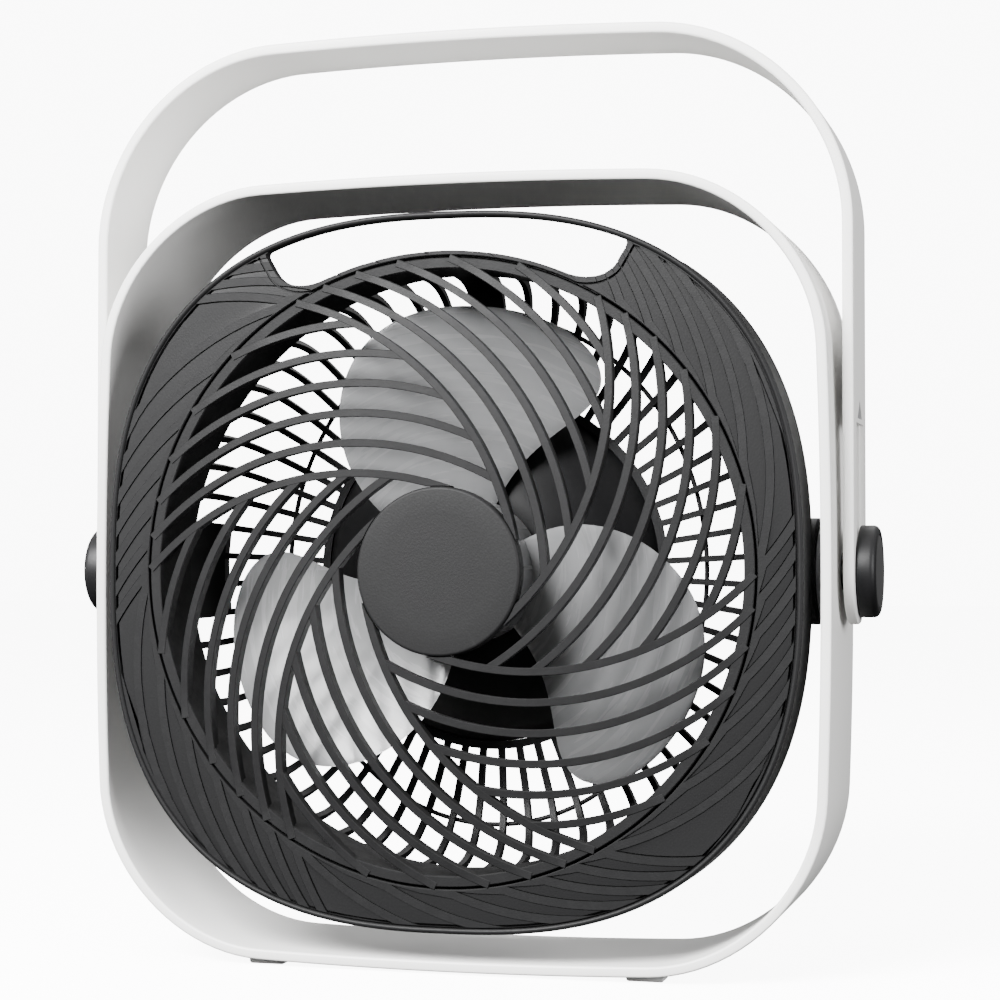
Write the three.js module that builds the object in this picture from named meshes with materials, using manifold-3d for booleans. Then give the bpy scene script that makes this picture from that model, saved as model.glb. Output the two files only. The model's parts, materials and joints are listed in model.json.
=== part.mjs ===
// Air circulator fan: a hoop stand, a raising carry handle, and a tilting fan head.
// Units are millimetres. +Z is up, the air leaves towards -Y, and z = 0 is the table.

import * as THREE from 'three';
import { mergeVertices } from 'three/addons/utils/BufferGeometryUtils.js';
import Module from 'manifold-3d';

const wasm = await Module();
wasm.setup();

// ---------------------------------------------------------------- driving dimensions

const gap = 0.3; // between pieces that touch

// Hoop stand: a wide band bent into a rounded rectangle with swollen sides.
const hoopWidth = 260; // outside, where the corner curves begin
const hoopTallness = 12; // how much taller than wide the hoop is
const hoopBow = 4.6; // how far the middle of each side swells out
const hoopCorner = 59;
const hoopWall = 3.7;
const hoopDepth = 63.7;
const hoopEdgeRound = 0.9;
const hoopLift = 5.4; // table to the hoop's lower edge, before the swelling

// Feet under the hoop.
const footSpacingX = 138.6;
const footSpacingY = 46;
const footLength = 13.8;
const footWidth = 9;

// Carry handle: a narrower band round the hoop, held at the pivots.
const handleDepth = 37;
const handleWall = 3.9;
const handleSideGap = 2.1; // from the hoop's widest place to the arm
const handlePark = 7.5; // hoop to handle where the handle is pushed down, before the swellings
const handleBow = 5.6;
const handleCorner = 69;
const handleEdgeRound = 0.9;
const handleTravel = 45.5; // how far the raised handle slides down
const recessWidth = 20;
const recessDepth = 1.1;
const markHeight = 6.5;
const markLift = 1.6;
const markDepth = 0.5;

// Pivots: bolt, bush, washer, guide block and knob, from the head outwards.
const boltRadius = 4.2;
const boltEmbed = 13; // how deep the bolt sits in the head's boss
const bossRadius = 18.7;
const bushWall = 2;
const washerRadius = 16;
const washerThickness = 1.3;
const guideWidth = 12;
const guideHeight = 11;
const knobRadius = 16.1;
const knobHeight = 6.6;
const knobRound = 2.2;
const knobFaceRadius = 12.6;
const knobFaceThickness = 1.2;
const knobTopWall = 2;

// Head shell.
const headClearance = 4.8; // from the hoop to the middle of the head's side
const headSquareness = 2.55; // exponent of the outline: 2 is a circle
const headFront = 39.1; // pivot plane to the face of the bezel
const headWall = 2.5;
const faceWall = 2.6;
const bezelBand = 16.1; // from the grille to the middle of the head's side
const grilleRim = 4; // width of the grille's flat rim
const ductWall = 2.5;
const ductClearance = 0.5; // the duct's bore stands behind the rim's inner edge
const ductBack = -9.5;
const shellBack = -1.5; // where the rear shell ends
const lipWall = 1.9; // of the collar that the rear grille sits in
const lipFront = -12;
const seamMargin = 0.8; // from the pivot boss to the seam

// Grip opening in the head's top.
const gripHalfAngle = 30.5; // degrees each side of straight up
const gripFloor = 2; // grille rim to the opening
const gripBar = 2.8; // thickness of the bar above the opening
const gripBarDepth = 5; // how far the bar reaches back
const gripPocket = 9; // how far the pocket behind the opening reaches past its ends
const gripFlare = 12; // how far the sides lean outwards over their height
const gripRound = 5;
const gripLiner = 1.8;

// Front grille.
const sectorCount = 6;
const ribsPerSector = 5;
const ribWidth = 2.8;
const ribDepth = 6;
const ribProud = 0.5; // above the flat rim
const ribPitchShare = 0.0964; // of the grille's radius, as the three shares below
const ribArcShare = 0.9818; // every rib is a piece of a circle of this radius
const spineCentreShareX = -0.2836;
const spineCentreShareZ = -0.6691;
const grilleCrown = 4.8; // the hub stands this far in front of the rim
const grilleRimThickness = 2.6;
const hubRadiusShare = 0.2682; // of the grille's radius
const hubCapHeight = 3;
const hubPlateThickness = 2.2;
const hubCapRound = 0.8;
const capProud = 6.1; // bezel face to the cap's face

// Fan wheel.
const bladeCount = 3;
const bladeTipGap = 10.9; // from the blade's tip to the duct
const bladeThickness = 1.6;
const bladeTopMiddle = 107; // degrees, middle of the upper blade's root
const bladeSweep = 22; // degrees that the middle line leans by the tip
const bladeHalfWidth = 38.7; // degrees, before the round tip
const bladeTipShape = [3.9, 0.365]; // exponents of the round tip
const bladeRootRise = 6; // half of the blade's extent along the axis
const bladeTipRise = 23.7; // the same, as it would be without the round tip
const bladeCamber = 2.4;
const bladePlane = -9;
const wheelHubRadius = 26;
const wheelHubFront = -33;
const wheelHubBack = -2;
const wheelHubWall = 2;

// Motor, on the head's axis behind the wheel.
const shaftRadius = 3;
const shaftFront = -35;
const shaftBack = 31;
const magnetRadius = 11;
const magnetLength = 12;
const motorPlane = 17; // middle of the magnet
const statorBore = 11.8;
const statorRadius = 22;
const statorTeeth = 6;
const bearingRadius = 7.5;
const bearingWidth = 5;
const runningGap = 0.05; // radial, shaft in bearing
const motorHousingRadius = 64;
const motorHousingFront = 2.4;
const motorHousingNose = 29;
const motorHousingBack = 27;
const motorWall = 2.2;
const motorShoulder = 20; // from the nose's edge to the cone's foot, along the radius
const motorShoulderDepth = 9;
const motorRimDepth = 18; // nose to the last bend before the rim
const overcut = 5; // how far a cutter runs past the face that it cuts
const endPlateWall = 1.6;
const nutRadius = 6;
const nutHeight = 4;

// Rear grille and rear cover.
const rearRibCount = 60;
const rearRibWidth = 2;
const rearRibDepth = 2.6;
const rearRimDepth = 4.2; // of the unbroken hoop in front of the slots
const rearCollarWidth = 3;
const rearCollarBack = 28.6;
const bowlSquareness = 3.5; // exponent of the bowl's section
const pivotPanelHalf = 9; // degrees beside the pivot where the bowl's side has no slots
const pivotPanelInset = 7;
const rearRingInset = 29; // from the bowl's rim to the ring on its back, at the sides
const rearRingStretch = 14; // how much further out the ring lies at the top
const rearRingWidth = 1.8;
const coverBack = 40.6;
const coverWall = 2.2;
const coverEdgeRound = 9;
const coverScrewInset = 14; // from the cover's edge
const coverScrewCount = 3;
const dialRadius = 15;
const dialTop = 45.2;
const dialStem = 3;
const dialRidgeWidth = 4;
const inletRadius = 5.5;
const inletHole = 2.6;
const inletDrop = 34; // axis to the inlet
const inletProud = 3.2;
const sleeveWall = 2; // of the sleeve that holds the stator and the board
const boardThickness = 1.6;
const boardPlane = 33;

// Fasteners.
const screwHeadRadius = 3;
const screwHeadHeight = 2;
const screwShankRadius = 1.5;
const housingScrewLength = 12;
const coverScrewLength = 8;
const housingScrewShare = 0.682; // spot along X and along Z, of the head's half width
const housingBossStep = 4; // from the seam to the bosses' meeting plane

// ---------------------------------------------------------------- derived places

const seamPlane = -bossRadius - seamMargin; // where bezel and rear shell meet
const halfWidth = hoopWidth / 2;
const halfHeight = halfWidth + hoopTallness / 2;
const pivotHeight = hoopLift + halfHeight;
const hoopOuterX = halfWidth + hoopBow;
const hoopInnerX = hoopOuterX - hoopWall;
const armInnerX = hoopOuterX + handleSideGap;
const armOuterX = armInnerX + handleWall;
const handleRise = halfHeight + handleTravel + handlePark; // pivot to the top, before the swelling
const knobInnerX = armOuterX + gap;
const knobOuterX = knobInnerX + knobHeight;
const washerInnerX = hoopInnerX - gap - washerThickness;
const bossFaceX = washerInnerX - gap;
const boltInnerX = bossFaceX - boltEmbed;
const boltOuterX = knobOuterX - knobFaceThickness - knobTopWall - gap;
const headHalf = hoopInnerX - headClearance; // from the axis to the middle of each side
const grilleRadius = headHalf - bezelBand;
const openingRadius = grilleRadius - grilleRim;
const ductInner = openingRadius + ductClearance;
const ductOuter = ductInner + ductWall;
const ductFront = -headFront + grilleRimThickness + gap;
const hubRadius = hubRadiusShare * grilleRadius;
const ribPitch = ribPitchShare * grilleRadius;
const ribArc = ribArcShare * grilleRadius;
const bladeTip = ductInner - bladeTipGap;
const housingScrewSpot = housingScrewShare * headHalf;
const housingBossEnd = seamPlane + housingBossStep;
const gripFloorRadius = grilleRadius + gripFloor;
const gripPocketBack = lipFront - 2 * gap;
const hubCapFront = -headFront - capProud;
const bowlRadius = ductOuter + 1.2; // outside of the rear grille's rim
const bowlFront = ductBack + gap;
const bowlCollar = motorHousingRadius + gap;
const lipInner = bowlRadius + 2 * gap;
const lipOuter = lipInner + lipWall;
const coverScrewRadius = motorHousingRadius - coverScrewInset;
const bearingFrontPlane = motorHousingFront + motorWall;
const endPlateFront = motorPlane + magnetLength / 2 + 1;
const bearingRearPlane = endPlateFront + endPlateWall;

const cornerSteps = 8;
const sideSteps = 5;
const roundSteps = 20;
const loopSteps = 40;
const smallSteps = 8;
const ribStepDegrees = 15;

// ---------------------------------------------------------------- colours

const finish = (color, roughness, metalness = 0) =>
  new THREE.MeshStandardMaterial({ color, roughness, metalness });

const whitePlastic = finish(0xe9e8e6, 0.42);
const darkPlastic = finish(0x3d3e40, 0.5);
const capPlastic = finish(0x4b4b4d, 0.55);
const blackPlastic = finish(0x1c1c1d, 0.48);
const bladePlastic = finish(0xb4b6b8, 0.3);
const rubber = finish(0xd8d8d6, 0.85);
const greyPlastic = finish(0x77787a, 0.55);
const steel = finish(0xb9bcc0, 0.3, 1);
const copper = finish(0xb5673a, 0.35, 1);
const magnet = finish(0x303236, 0.5, 0.4);
const board = finish(0x1f5a3a, 0.6);

// ---------------------------------------------------------------- shape helpers

const radians = THREE.MathUtils.degToRad;

// Turns every face outwards by the sign of the enclosed volume.
function facedOutwards(geometry) {
  const position = geometry.attributes.position;
  const index = geometry.index.array;
  const corner = [new THREE.Vector3(), new THREE.Vector3(), new THREE.Vector3()];
  let volume = 0;
  for (let i = 0; i < index.length; i += 3) {
    corner.forEach((vertex, k) => vertex.fromBufferAttribute(position, index[i + k]));
    volume += corner[0].dot(corner[1].clone().cross(corner[2]));
  }
  if (volume < 0) {
    for (let i = 0; i < index.length; i += 3) {
      [index[i], index[i + 1]] = [index[i + 1], index[i]];
    }
  }
  return geometry;
}

// Joins shared vertices and drops triangles that have no area.
function closed(geometry) {
  geometry.deleteAttribute('normal');
  geometry.deleteAttribute('uv');
  const merged = mergeVertices(geometry, 1e-4);
  const kept = [];
  const index = merged.index.array;
  for (let i = 0; i < index.length; i += 3) {
    const [a, b, c] = [index[i], index[i + 1], index[i + 2]];
    if (a !== b && b !== c && c !== a) kept.push(a, b, c);
  }
  merged.setIndex(kept);
  return facedOutwards(merged);
}

function solid(geometry) {
  const shape = closed(geometry);
  const vertProperties = new Float32Array(shape.attributes.position.array);
  const triVerts = new Uint32Array(shape.index.array);
  return new wasm.Manifold(new wasm.Mesh({ numProp: 3, vertProperties, triVerts }));
}

function surface(body) {
  const mesh = body.getMesh();
  const geometry = new THREE.BufferGeometry();
  geometry.setAttribute('position', new THREE.Float32BufferAttribute(mesh.vertProperties, 3));
  geometry.setIndex(Array.from(mesh.triVerts));
  return geometry;
}

const joined = (bodies) => bodies.reduce((all, body) => all.add(body));

// A flat outline given as (x, z), made solid from yFront to yBack.
function plate(shape, yFront, yBack, edgeRound = 0, curveSegments = 12) {
  const geometry = new THREE.ExtrudeGeometry(shape, {
    depth: yBack - yFront - 2 * edgeRound,
    bevelEnabled: edgeRound > 0,
    bevelThickness: edgeRound,
    bevelSize: edgeRound,
    bevelOffset: -edgeRound,
    bevelSegments: 1,
    curveSegments,
  });
  geometry.rotateX(Math.PI / 2);
  geometry.translate(0, yBack - edgeRound, 0);
  return geometry;
}

// A profile of (radius, y) points turned round the Y axis.
function turned(profile, steps = roundSteps) {
  const points = profile.map(([radius, y]) => new THREE.Vector2(radius, y));
  return closed(new THREE.LatheGeometry(points, steps));
}

// A profile of (radius, x) points turned round the X axis, on the given side.
function turnedAcross(profile, side, steps = roundSteps) {
  const geometry = turned(profile, steps);
  geometry.rotateZ(-Math.PI / 2);
  if (side < 0) geometry.rotateZ(Math.PI);
  return geometry;
}

const ring = (inner, outer, yFront, yBack, steps = loopSteps) =>
  turned([[inner, yFront], [outer, yFront], [outer, yBack], [inner, yBack], [inner, yFront]], steps);

const disc = (radius, yFront, yBack, steps = roundSteps) =>
  turned([[0, yFront], [radius, yFront], [radius, yBack], [0, yBack]], steps);

const discAcross = (radius, xInner, xOuter, side, steps = roundSteps) =>
  turnedAcross([[0, xInner], [radius, xInner], [radius, xOuter], [0, xOuter]], side, steps);

function box(xSize, ySize, zSize, x, y, z) {
  const geometry = new THREE.BoxGeometry(xSize, ySize, zSize);
  geometry.translate(x, y, z);
  return geometry;
}

const polar = (radius, degrees) =>
  new THREE.Vector2(radius * Math.cos(radians(degrees)), radius * Math.sin(radians(degrees)));

function named(name, geometry, material) {
  const mesh = new THREE.Mesh(geometry, material);
  mesh.name = name;
  return mesh;
}

// ---------------------------------------------------------------- outlines

// Swells a straight-sided outline so that the middle of each side stands out.
function swollen(point, halfX, halfZ, bow) {
  const x = point.x * (1 + (bow / halfX) * (1 - (point.y / halfZ) ** 2));
  const z = point.y * (1 + (bow / halfZ) * (1 - (point.x / halfX) ** 2));
  return new THREE.Vector2(x, z);
}

function cornerArc(centreX, centreZ, radius, startDegrees) {
  const points = [];
  for (let i = 0; i <= cornerSteps; i += 1) {
    const angle = radians(startDegrees + (90 * i) / cornerSteps);
    points.push(new THREE.Vector2(centreX + radius * Math.cos(angle), centreZ + radius * Math.sin(angle)));
  }
  return points;
}

function between(start, end, steps) {
  const points = [];
  for (let i = 1; i < steps; i += 1) points.push(start.clone().lerp(end, i / steps));
  return points;
}

// The hoop's outline, moved inwards by inset.
function hoopOutline(inset) {
  const x = halfWidth - hoopCorner;
  const z = halfHeight - hoopCorner;
  const radius = hoopCorner - inset;
  const corners = [
    cornerArc(x, z, radius, 0),
    cornerArc(-x, z, radius, 90),
    cornerArc(-x, -z, radius, 180),
    cornerArc(x, -z, radius, 270),
  ];
  const points = corners.flatMap((corner, i) => {
    const next = corners[(i + 1) % corners.length];
    return [...corner, ...between(corner[corner.length - 1], next[0], sideSteps)];
  });
  return points.map((point) => swollen(point, halfWidth, halfHeight, hoopBow));
}

// The handle's inverted U from one arm's foot to the other, moved inwards by inset.
function handleOutline(inset) {
  const x = armOuterX - handleCorner;
  const z = handleRise - handleCorner;
  const radius = handleCorner - inset;
  const right = cornerArc(x, z, radius, 0);
  const left = cornerArc(-x, z, radius, 90);
  const top = between(right[right.length - 1], left[0], sideSteps);
  const raise = (point) => {
    const share = 1 - (point.x / armOuterX) ** 2;
    return new THREE.Vector2(point.x, point.y + handleBow * share * (point.y / handleRise));
  };
  const footLeft = new THREE.Vector2(-armOuterX + inset, -handleDepth / 2);
  const footRight = new THREE.Vector2(armOuterX - inset, -handleDepth / 2);
  return [footRight, ...[...right, ...top, ...left].map(raise), footLeft];
}

// The head's outline: a circle squared by an exponent.
function headOutline(half, squareness = headSquareness, steps = loopSteps) {
  const points = [];
  for (let i = 0; i < steps; i += 1) {
    const angle = (2 * Math.PI * i) / steps;
    const power = 2 / squareness;
    const x = half * Math.sign(Math.cos(angle)) * Math.abs(Math.cos(angle)) ** power;
    const z = half * Math.sign(Math.sin(angle)) * Math.abs(Math.sin(angle)) ** power;
    points.push(new THREE.Vector2(x, z));
  }
  return points;
}

function circlePath(radius) {
  const path = new THREE.Path();
  path.absarc(0, 0, radius, 0, 2 * Math.PI, false);
  return path;
}

// ---------------------------------------------------------------- stand

function hoopStand() {
  const shape = new THREE.Shape(hoopOutline(0));
  shape.holes.push(new THREE.Path(hoopOutline(hoopWall).reverse()));
  const band = solid(plate(shape, -hoopDepth / 2, hoopDepth / 2, hoopEdgeRound));
  const hole = boltRadius + 2 * gap + bushWall;
  const drills = [-1, 1].map((side) => solid(discAcross(hole, hoopInnerX - 2, hoopOuterX + 2, side)));
  const geometry = surface(band.subtract(joined(drills)));
  geometry.translate(0, 0, pivotHeight);
  return named('hoop_stand', geometry, whitePlastic);
}

// Height of the hoop's under face above the table at a place x.
function hoopUnderside(x) {
  return hoopLift - hoopBow * (1 - (x / halfWidth) ** 2);
}

function foot(name, sideX, sideY) {
  const centreX = (sideX * footSpacingX) / 2;
  const left = centreX - footLength / 2;
  const right = centreX + footLength / 2;
  const shape = new THREE.Shape();
  shape.moveTo(left + 0.6, 0);
  shape.lineTo(right - 0.6, 0);
  shape.lineTo(right, hoopUnderside(right) - gap);
  shape.lineTo(centreX, hoopUnderside(centreX) - gap);
  shape.lineTo(left, hoopUnderside(left) - gap);
  const centreY = (sideY * footSpacingY) / 2;
  return named(name, closed(plate(shape, centreY - footWidth / 2, centreY + footWidth / 2)), rubber);
}

function pivotBush(name, side) {
  const inner = boltRadius + gap;
  const outer = inner + bushWall;
  const profile = [
    [inner, hoopInnerX],
    [outer, hoopInnerX],
    [outer, hoopOuterX],
    [inner, hoopOuterX],
    [inner, hoopInnerX],
  ];
  return named(name, turnedAcross(profile, side), blackPlastic);
}

function guideBlock(name, side) {
  const thickness = armOuterX - hoopOuterX - gap;
  const middle = hoopOuterX + gap + thickness / 2;
  const block = solid(box(thickness, guideWidth, guideHeight, side * middle, 0, 0));
  const bore = solid(discAcross(boltRadius + gap, hoopOuterX - 2, armOuterX + 2, side));
  return named(name, surface(block.subtract(bore)), blackPlastic);
}

// ---------------------------------------------------------------- handle

function handleBand() {
  const outer = handleOutline(0);
  const inner = handleOutline(handleWall);
  const shape = new THREE.Shape([...outer, ...inner.reverse()]);
  return solid(plate(shape, -handleDepth / 2, handleDepth / 2, handleEdgeRound));
}

// Rounds the lower end of both arms to a half circle round the pivot.
function armEndCutter() {
  const reach = armOuterX + 5;
  const block = solid(box(2 * reach, handleDepth + 4, handleDepth, 0, 0, -handleDepth / 2));
  const keep = solid(discAcross(handleDepth / 2, -reach, reach, 1, 2 * roundSteps));
  return block.subtract(keep);
}

// A slot with square ends through one arm, tall enough for the block's travel.
function slotCutter(side, width, xInner, xOuter, extra) {
  const bottom = -guideHeight / 2 - gap - extra;
  const top = guideHeight / 2 + handleTravel + gap + extra;
  const thickness = xOuter - xInner;
  const middle = side * (xInner + thickness / 2);
  return solid(box(thickness, width, top - bottom, middle, 0, (top + bottom) / 2));
}

// The arrowhead pressed into the arm above the slot.
function markCutter(side) {
  const base = guideHeight / 2 + handleTravel + 2 * gap + markLift;
  const shape = new THREE.Shape();
  shape.moveTo(-recessWidth / 3, base);
  shape.lineTo(recessWidth / 3, base);
  shape.lineTo(0, base + markHeight);
  const geometry = new THREE.ExtrudeGeometry(shape, { depth: markDepth + 1, bevelEnabled: false });
  geometry.rotateX(Math.PI / 2);
  geometry.rotateZ(Math.PI / 2);
  const x = side > 0 ? armOuterX - markDepth : -armOuterX - 1;
  geometry.translate(x, 0, 0);
  return solid(geometry);
}

function carryHandle() {
  const cutters = [armEndCutter()];
  for (const side of [-1, 1]) {
    cutters.push(slotCutter(side, guideWidth + 2 * gap, armInnerX - 2, armOuterX + 2, 0));
    cutters.push(slotCutter(side, recessWidth, armOuterX - recessDepth, armOuterX + 2, gap));
    cutters.push(markCutter(side));
  }
  return named('carry_handle', surface(handleBand().subtract(joined(cutters))), whitePlastic);
}

// ---------------------------------------------------------------- knobs

function knob(name, side) {
  const bore = boltRadius + gap;
  const seat = knobOuterX - knobFaceThickness - gap;
  const profile = [
    [bore, knobInnerX],
    [knobRadius - 0.6, knobInnerX],
    [knobRadius, knobInnerX + 0.6],
    [knobRadius, knobOuterX - knobRound],
    [knobRadius - 0.3 * knobRound, knobOuterX - 0.3 * knobRound],
    [knobRadius - knobRound, knobOuterX],
    [knobFaceRadius + gap, knobOuterX],
    [knobFaceRadius + gap, seat],
    [0, seat],
    [0, boltOuterX + gap],
    [bore, boltOuterX + gap],
    [bore, knobInnerX],
  ];
  return named(name, turnedAcross(profile, side, 24), blackPlastic);
}

function knobFace(name, side) {
  const inner = knobOuterX - knobFaceThickness;
  return named(name, discAcross(knobFaceRadius, inner, knobOuterX, side, 24), greyPlastic);
}

// ---------------------------------------------------------------- head shell

// Joins closed loops of (x, y, z) points one after another, and the last to the first.
function lofted(loops) {
  const count = loops[0].length;
  const positions = loops.flat().flatMap((point) => [point.x, point.y, point.z]);
  const index = [];
  loops.forEach((loop, k) => {
    const next = (k + 1) % loops.length;
    for (let i = 0; i < count; i += 1) {
      const j = (i + 1) % count;
      const [a, b] = [k * count + i, k * count + j];
      const [c, d] = [next * count + i, next * count + j];
      index.push(a, b, d, a, d, c);
    }
  });
  const geometry = new THREE.BufferGeometry();
  geometry.setAttribute('position', new THREE.Float32BufferAttribute(positions, 3));
  geometry.setIndex(index);
  return closed(geometry);
}

const atPlane = (outline, y) => outline.map((point) => new THREE.Vector3(point.x, y, point.y));

// Outer faces of the rear shell, as (half width, squareness, plane) from the seam to the lip.
const shellTaper = [
  [headHalf, headSquareness, seamPlane + gap],
  [headHalf, headSquareness, -17],
  [headHalf - 2.2, headSquareness, -11],
  [headHalf - 7, 2.3, -5],
  [lipOuter, 2, shellBack],
];

const shellLoops = (sections) => sections.map(([half, power, y]) => atPlane(headOutline(half, power), y));

// The rear shell narrows from the head's outline to the lip round the rear grille.
function rearShell() {
  const inside = [
    [lipInner, 2, shellBack],
    [lipInner, 2, shellBack - headWall],
    [headHalf - 7 - headWall, 2.3, -5 - headWall],
    [headHalf - 2.2 - headWall, headSquareness, -11 - headWall / 2],
    [headHalf - headWall, headSquareness, -17 - headWall / 2],
    [headHalf - headWall, headSquareness, seamPlane + gap],
  ];
  return solid(lofted(shellLoops([...shellTaper, ...inside])));
}

// The space inside the rear shell's outer faces, with a thin hole on the axis.
function shellRoom() {
  const start = [1, 2, seamPlane + gap];
  const end = [1, 2, shellBack];
  return solid(lofted(shellLoops([start, ...shellTaper, end])));
}

// The grip's outline: a floor along the grille's rim, leaning sides, and a top.
function gripOutline(sideGrow, floorRadius, topRadius) {
  const lean = THREE.MathUtils.radToDeg(gripFlare / headHalf);
  const growAngle = THREE.MathUtils.radToDeg(sideGrow / headHalf);
  const roundAngle = THREE.MathUtils.radToDeg(gripRound / floorRadius);
  const bottomHalf = gripHalfAngle - lean / 2 + growAngle;
  const topHalf = gripHalfAngle + lean / 2 + growAngle;
  const steps = 12;
  const points = [];
  for (let i = 0; i <= steps; i += 1) {
    const angle = 90 - bottomHalf + roundAngle + (2 * (bottomHalf - roundAngle) * i) / steps;
    points.push(polar(floorRadius, angle));
  }
  points.push(polar(floorRadius + 0.35 * gripRound, 90 + bottomHalf - 0.15 * roundAngle));
  for (let i = 0; i <= steps; i += 1) {
    const angle = 90 + topHalf - (2 * topHalf * i) / steps;
    points.push(polar(topRadius(angle), angle));
  }
  points.push(polar(floorRadius + 0.35 * gripRound, 90 - bottomHalf + 0.15 * roundAngle));
  return points;
}

// Distance from the axis to the head's outline in one direction, less an inset.
function headRadius(angle, inset) {
  const direction = polar(1, angle);
  const sum = Math.abs(direction.x) ** headSquareness + Math.abs(direction.y) ** headSquareness;
  return headHalf / sum ** (1 / headSquareness) - inset;
}

function gripPlate(sideGrow, floorRadius, topInset, yFront, yBack) {
  const outline = gripOutline(sideGrow, floorRadius, (angle) => headRadius(angle, topInset));
  return solid(plate(new THREE.Shape(outline), yFront, yBack));
}

// The opening in the face, under its bar.
const gripOpening = () => gripPlate(0, gripFloorRadius, gripBar, -headFront - 5, shellBack + 5);

// The pocket behind the bar: wider than the opening, and open at the top and the back.
const gripPocketRoom = (floorRadius, yFront) =>
  gripPlate(gripPocket, floorRadius, -gripLiner - 5, yFront, shellBack + 5);

// The wedge that the pocket and the walls round it take up.
const gripWedge = (clearance, yFront, yBack) =>
  gripPlate(gripPocket + gripLiner + clearance, gripFloorRadius - gripLiner - clearance,
    -gripLiner - 5, yFront, yBack);

const cornerSpots = [[1, 1], [-1, 1], [-1, -1], [1, -1]];

function columnAt(x, z, radius, yFront, yBack, steps = smallSteps) {
  const geometry = disc(radius, yFront, yBack, steps);
  geometry.translate(x, 0, z);
  return solid(geometry);
}

function frontBezel() {
  const face = new THREE.Shape(headOutline(headHalf));
  face.holes.push(circlePath(grilleRadius + gap));
  const wall = new THREE.Shape(headOutline(headHalf));
  wall.holes.push(new THREE.Path(headOutline(headHalf - headWall).reverse()));
  const bodies = [
    solid(plate(face, -headFront, -headFront + faceWall, 0, loopSteps)),
    solid(plate(wall, -headFront + faceWall / 2, seamPlane)),
    gripWedge(0, -headFront + faceWall / 2, gripPocketBack),
  ];
  const spot = housingScrewSpot;
  for (const [x, z] of cornerSpots) {
    bodies.push(columnAt(x * spot, z * spot, 4.5, -headFront + faceWall / 2, housingBossEnd));
  }
  const pilotFront = housingBossEnd - housingScrewLength;
  const pilots = cornerSpots.map(([x, z]) =>
    columnAt(x * spot, z * spot, screwShankRadius + gap, pilotFront, housingBossEnd + 2));
  const pocket = gripPocketRoom(gripFloorRadius, -headFront + gripBarDepth);
  const cut = joined([gripOpening(), pocket, ...pilots]);
  const outline = solid(plate(new THREE.Shape(headOutline(headHalf)), -headFront, shellBack));
  return named('front_bezel', surface(joined(bodies).intersect(outline).subtract(cut)), darkPlastic);
}

// Walls that close the rear shell beside the grip's pocket.
function pocketWalls() {
  const floor = lipInner + lipWall / 2;
  const wedge = gripPlate(gripPocket + gripLiner, floor, -gripLiner - 5, lipFront - gap, shellBack + 1);
  return wedge.intersect(shellRoom());
}

function rearHousing() {
  const spot = housingScrewSpot;
  const bossStart = housingBossEnd + gap;
  const columnBack = bossStart + 8;
  const bodies = [
    rearShell(),
    pocketWalls(),
    solid(ring(ductInner, ductOuter, ductFront, ductBack)),
    solid(ring(ductOuter - 1, lipOuter, lipFront, ductBack)),
    solid(ring(lipInner, lipOuter, lipFront, shellBack)),
  ];
  for (const side of [-1, 1]) {
    bodies.push(solid(discAcross(bossRadius, lipInner + 0.9, bossFaceX, side)));
  }
  for (const [x, z] of cornerSpots) bodies.push(columnAt(x * spot, z * spot, 5.2, bossStart, columnBack));
  const cutters = [
    gripWedge(gap, seamPlane - 3, lipFront - gap),
    gripPocketRoom(lipOuter, lipFront - 2 * gap),
  ];
  for (const side of [-1, 1]) {
    cutters.push(solid(discAcross(boltRadius + gap, boltInnerX - gap, bossFaceX + 2, side)));
  }
  for (const [x, z] of cornerSpots) {
    const headSeat = bossStart + 3;
    cutters.push(columnAt(x * spot, z * spot, screwShankRadius + gap, bossStart - 2, headSeat + 1));
    cutters.push(columnAt(x * spot, z * spot, screwHeadRadius + gap, headSeat, columnBack + overcut));
  }
  return named('rear_housing', surface(joined(bodies).subtract(joined(cutters))), darkPlastic);
}

// ---------------------------------------------------------------- front grille

const spineCentre = (sector) => {
  const start = new THREE.Vector2(spineCentreShareX, spineCentreShareZ);
  start.multiplyScalar(grilleRadius);
  return start.rotateAround(new THREE.Vector2(), radians((-360 / sectorCount) * sector));
};

// Where a rib's circle reaches a distance from the axis, as an angle round the rib's own centre.
function angleAtRadius(centre, radius) {
  const distance = centre.length();
  const cosine = (radius ** 2 - distance ** 2 - ribArc ** 2) / (2 * distance * ribArc);
  return centre.angle() - Math.acos(THREE.MathUtils.clamp(cosine, -1, 1));
}

// Where two circles of the rib radius cross, on the grille's inner side.
function crossing(centre, other) {
  const middle = centre.clone().add(other).multiplyScalar(0.5);
  const half = centre.distanceTo(other) / 2;
  const along = other.clone().sub(centre).normalize();
  const across = new THREE.Vector2(-along.y, along.x).multiplyScalar(Math.sqrt(ribArc ** 2 - half ** 2));
  const first = middle.clone().add(across);
  const second = middle.clone().sub(across);
  return first.length() < second.length() ? first : second;
}

function ribBar(centre, startAngle, endAngle) {
  const shape = new THREE.Shape();
  shape.absarc(centre.x, centre.y, ribArc + ribWidth / 2, startAngle, endAngle, true);
  shape.absarc(centre.x, centre.y, ribArc - ribWidth / 2, endAngle, startAngle, false);
  const front = -headFront - ribProud;
  const steps = Math.max(3, Math.round((startAngle - endAngle) / radians(ribStepDegrees)));
  return solid(plate(shape, front, front + ribDepth, 0, steps));
}

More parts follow.
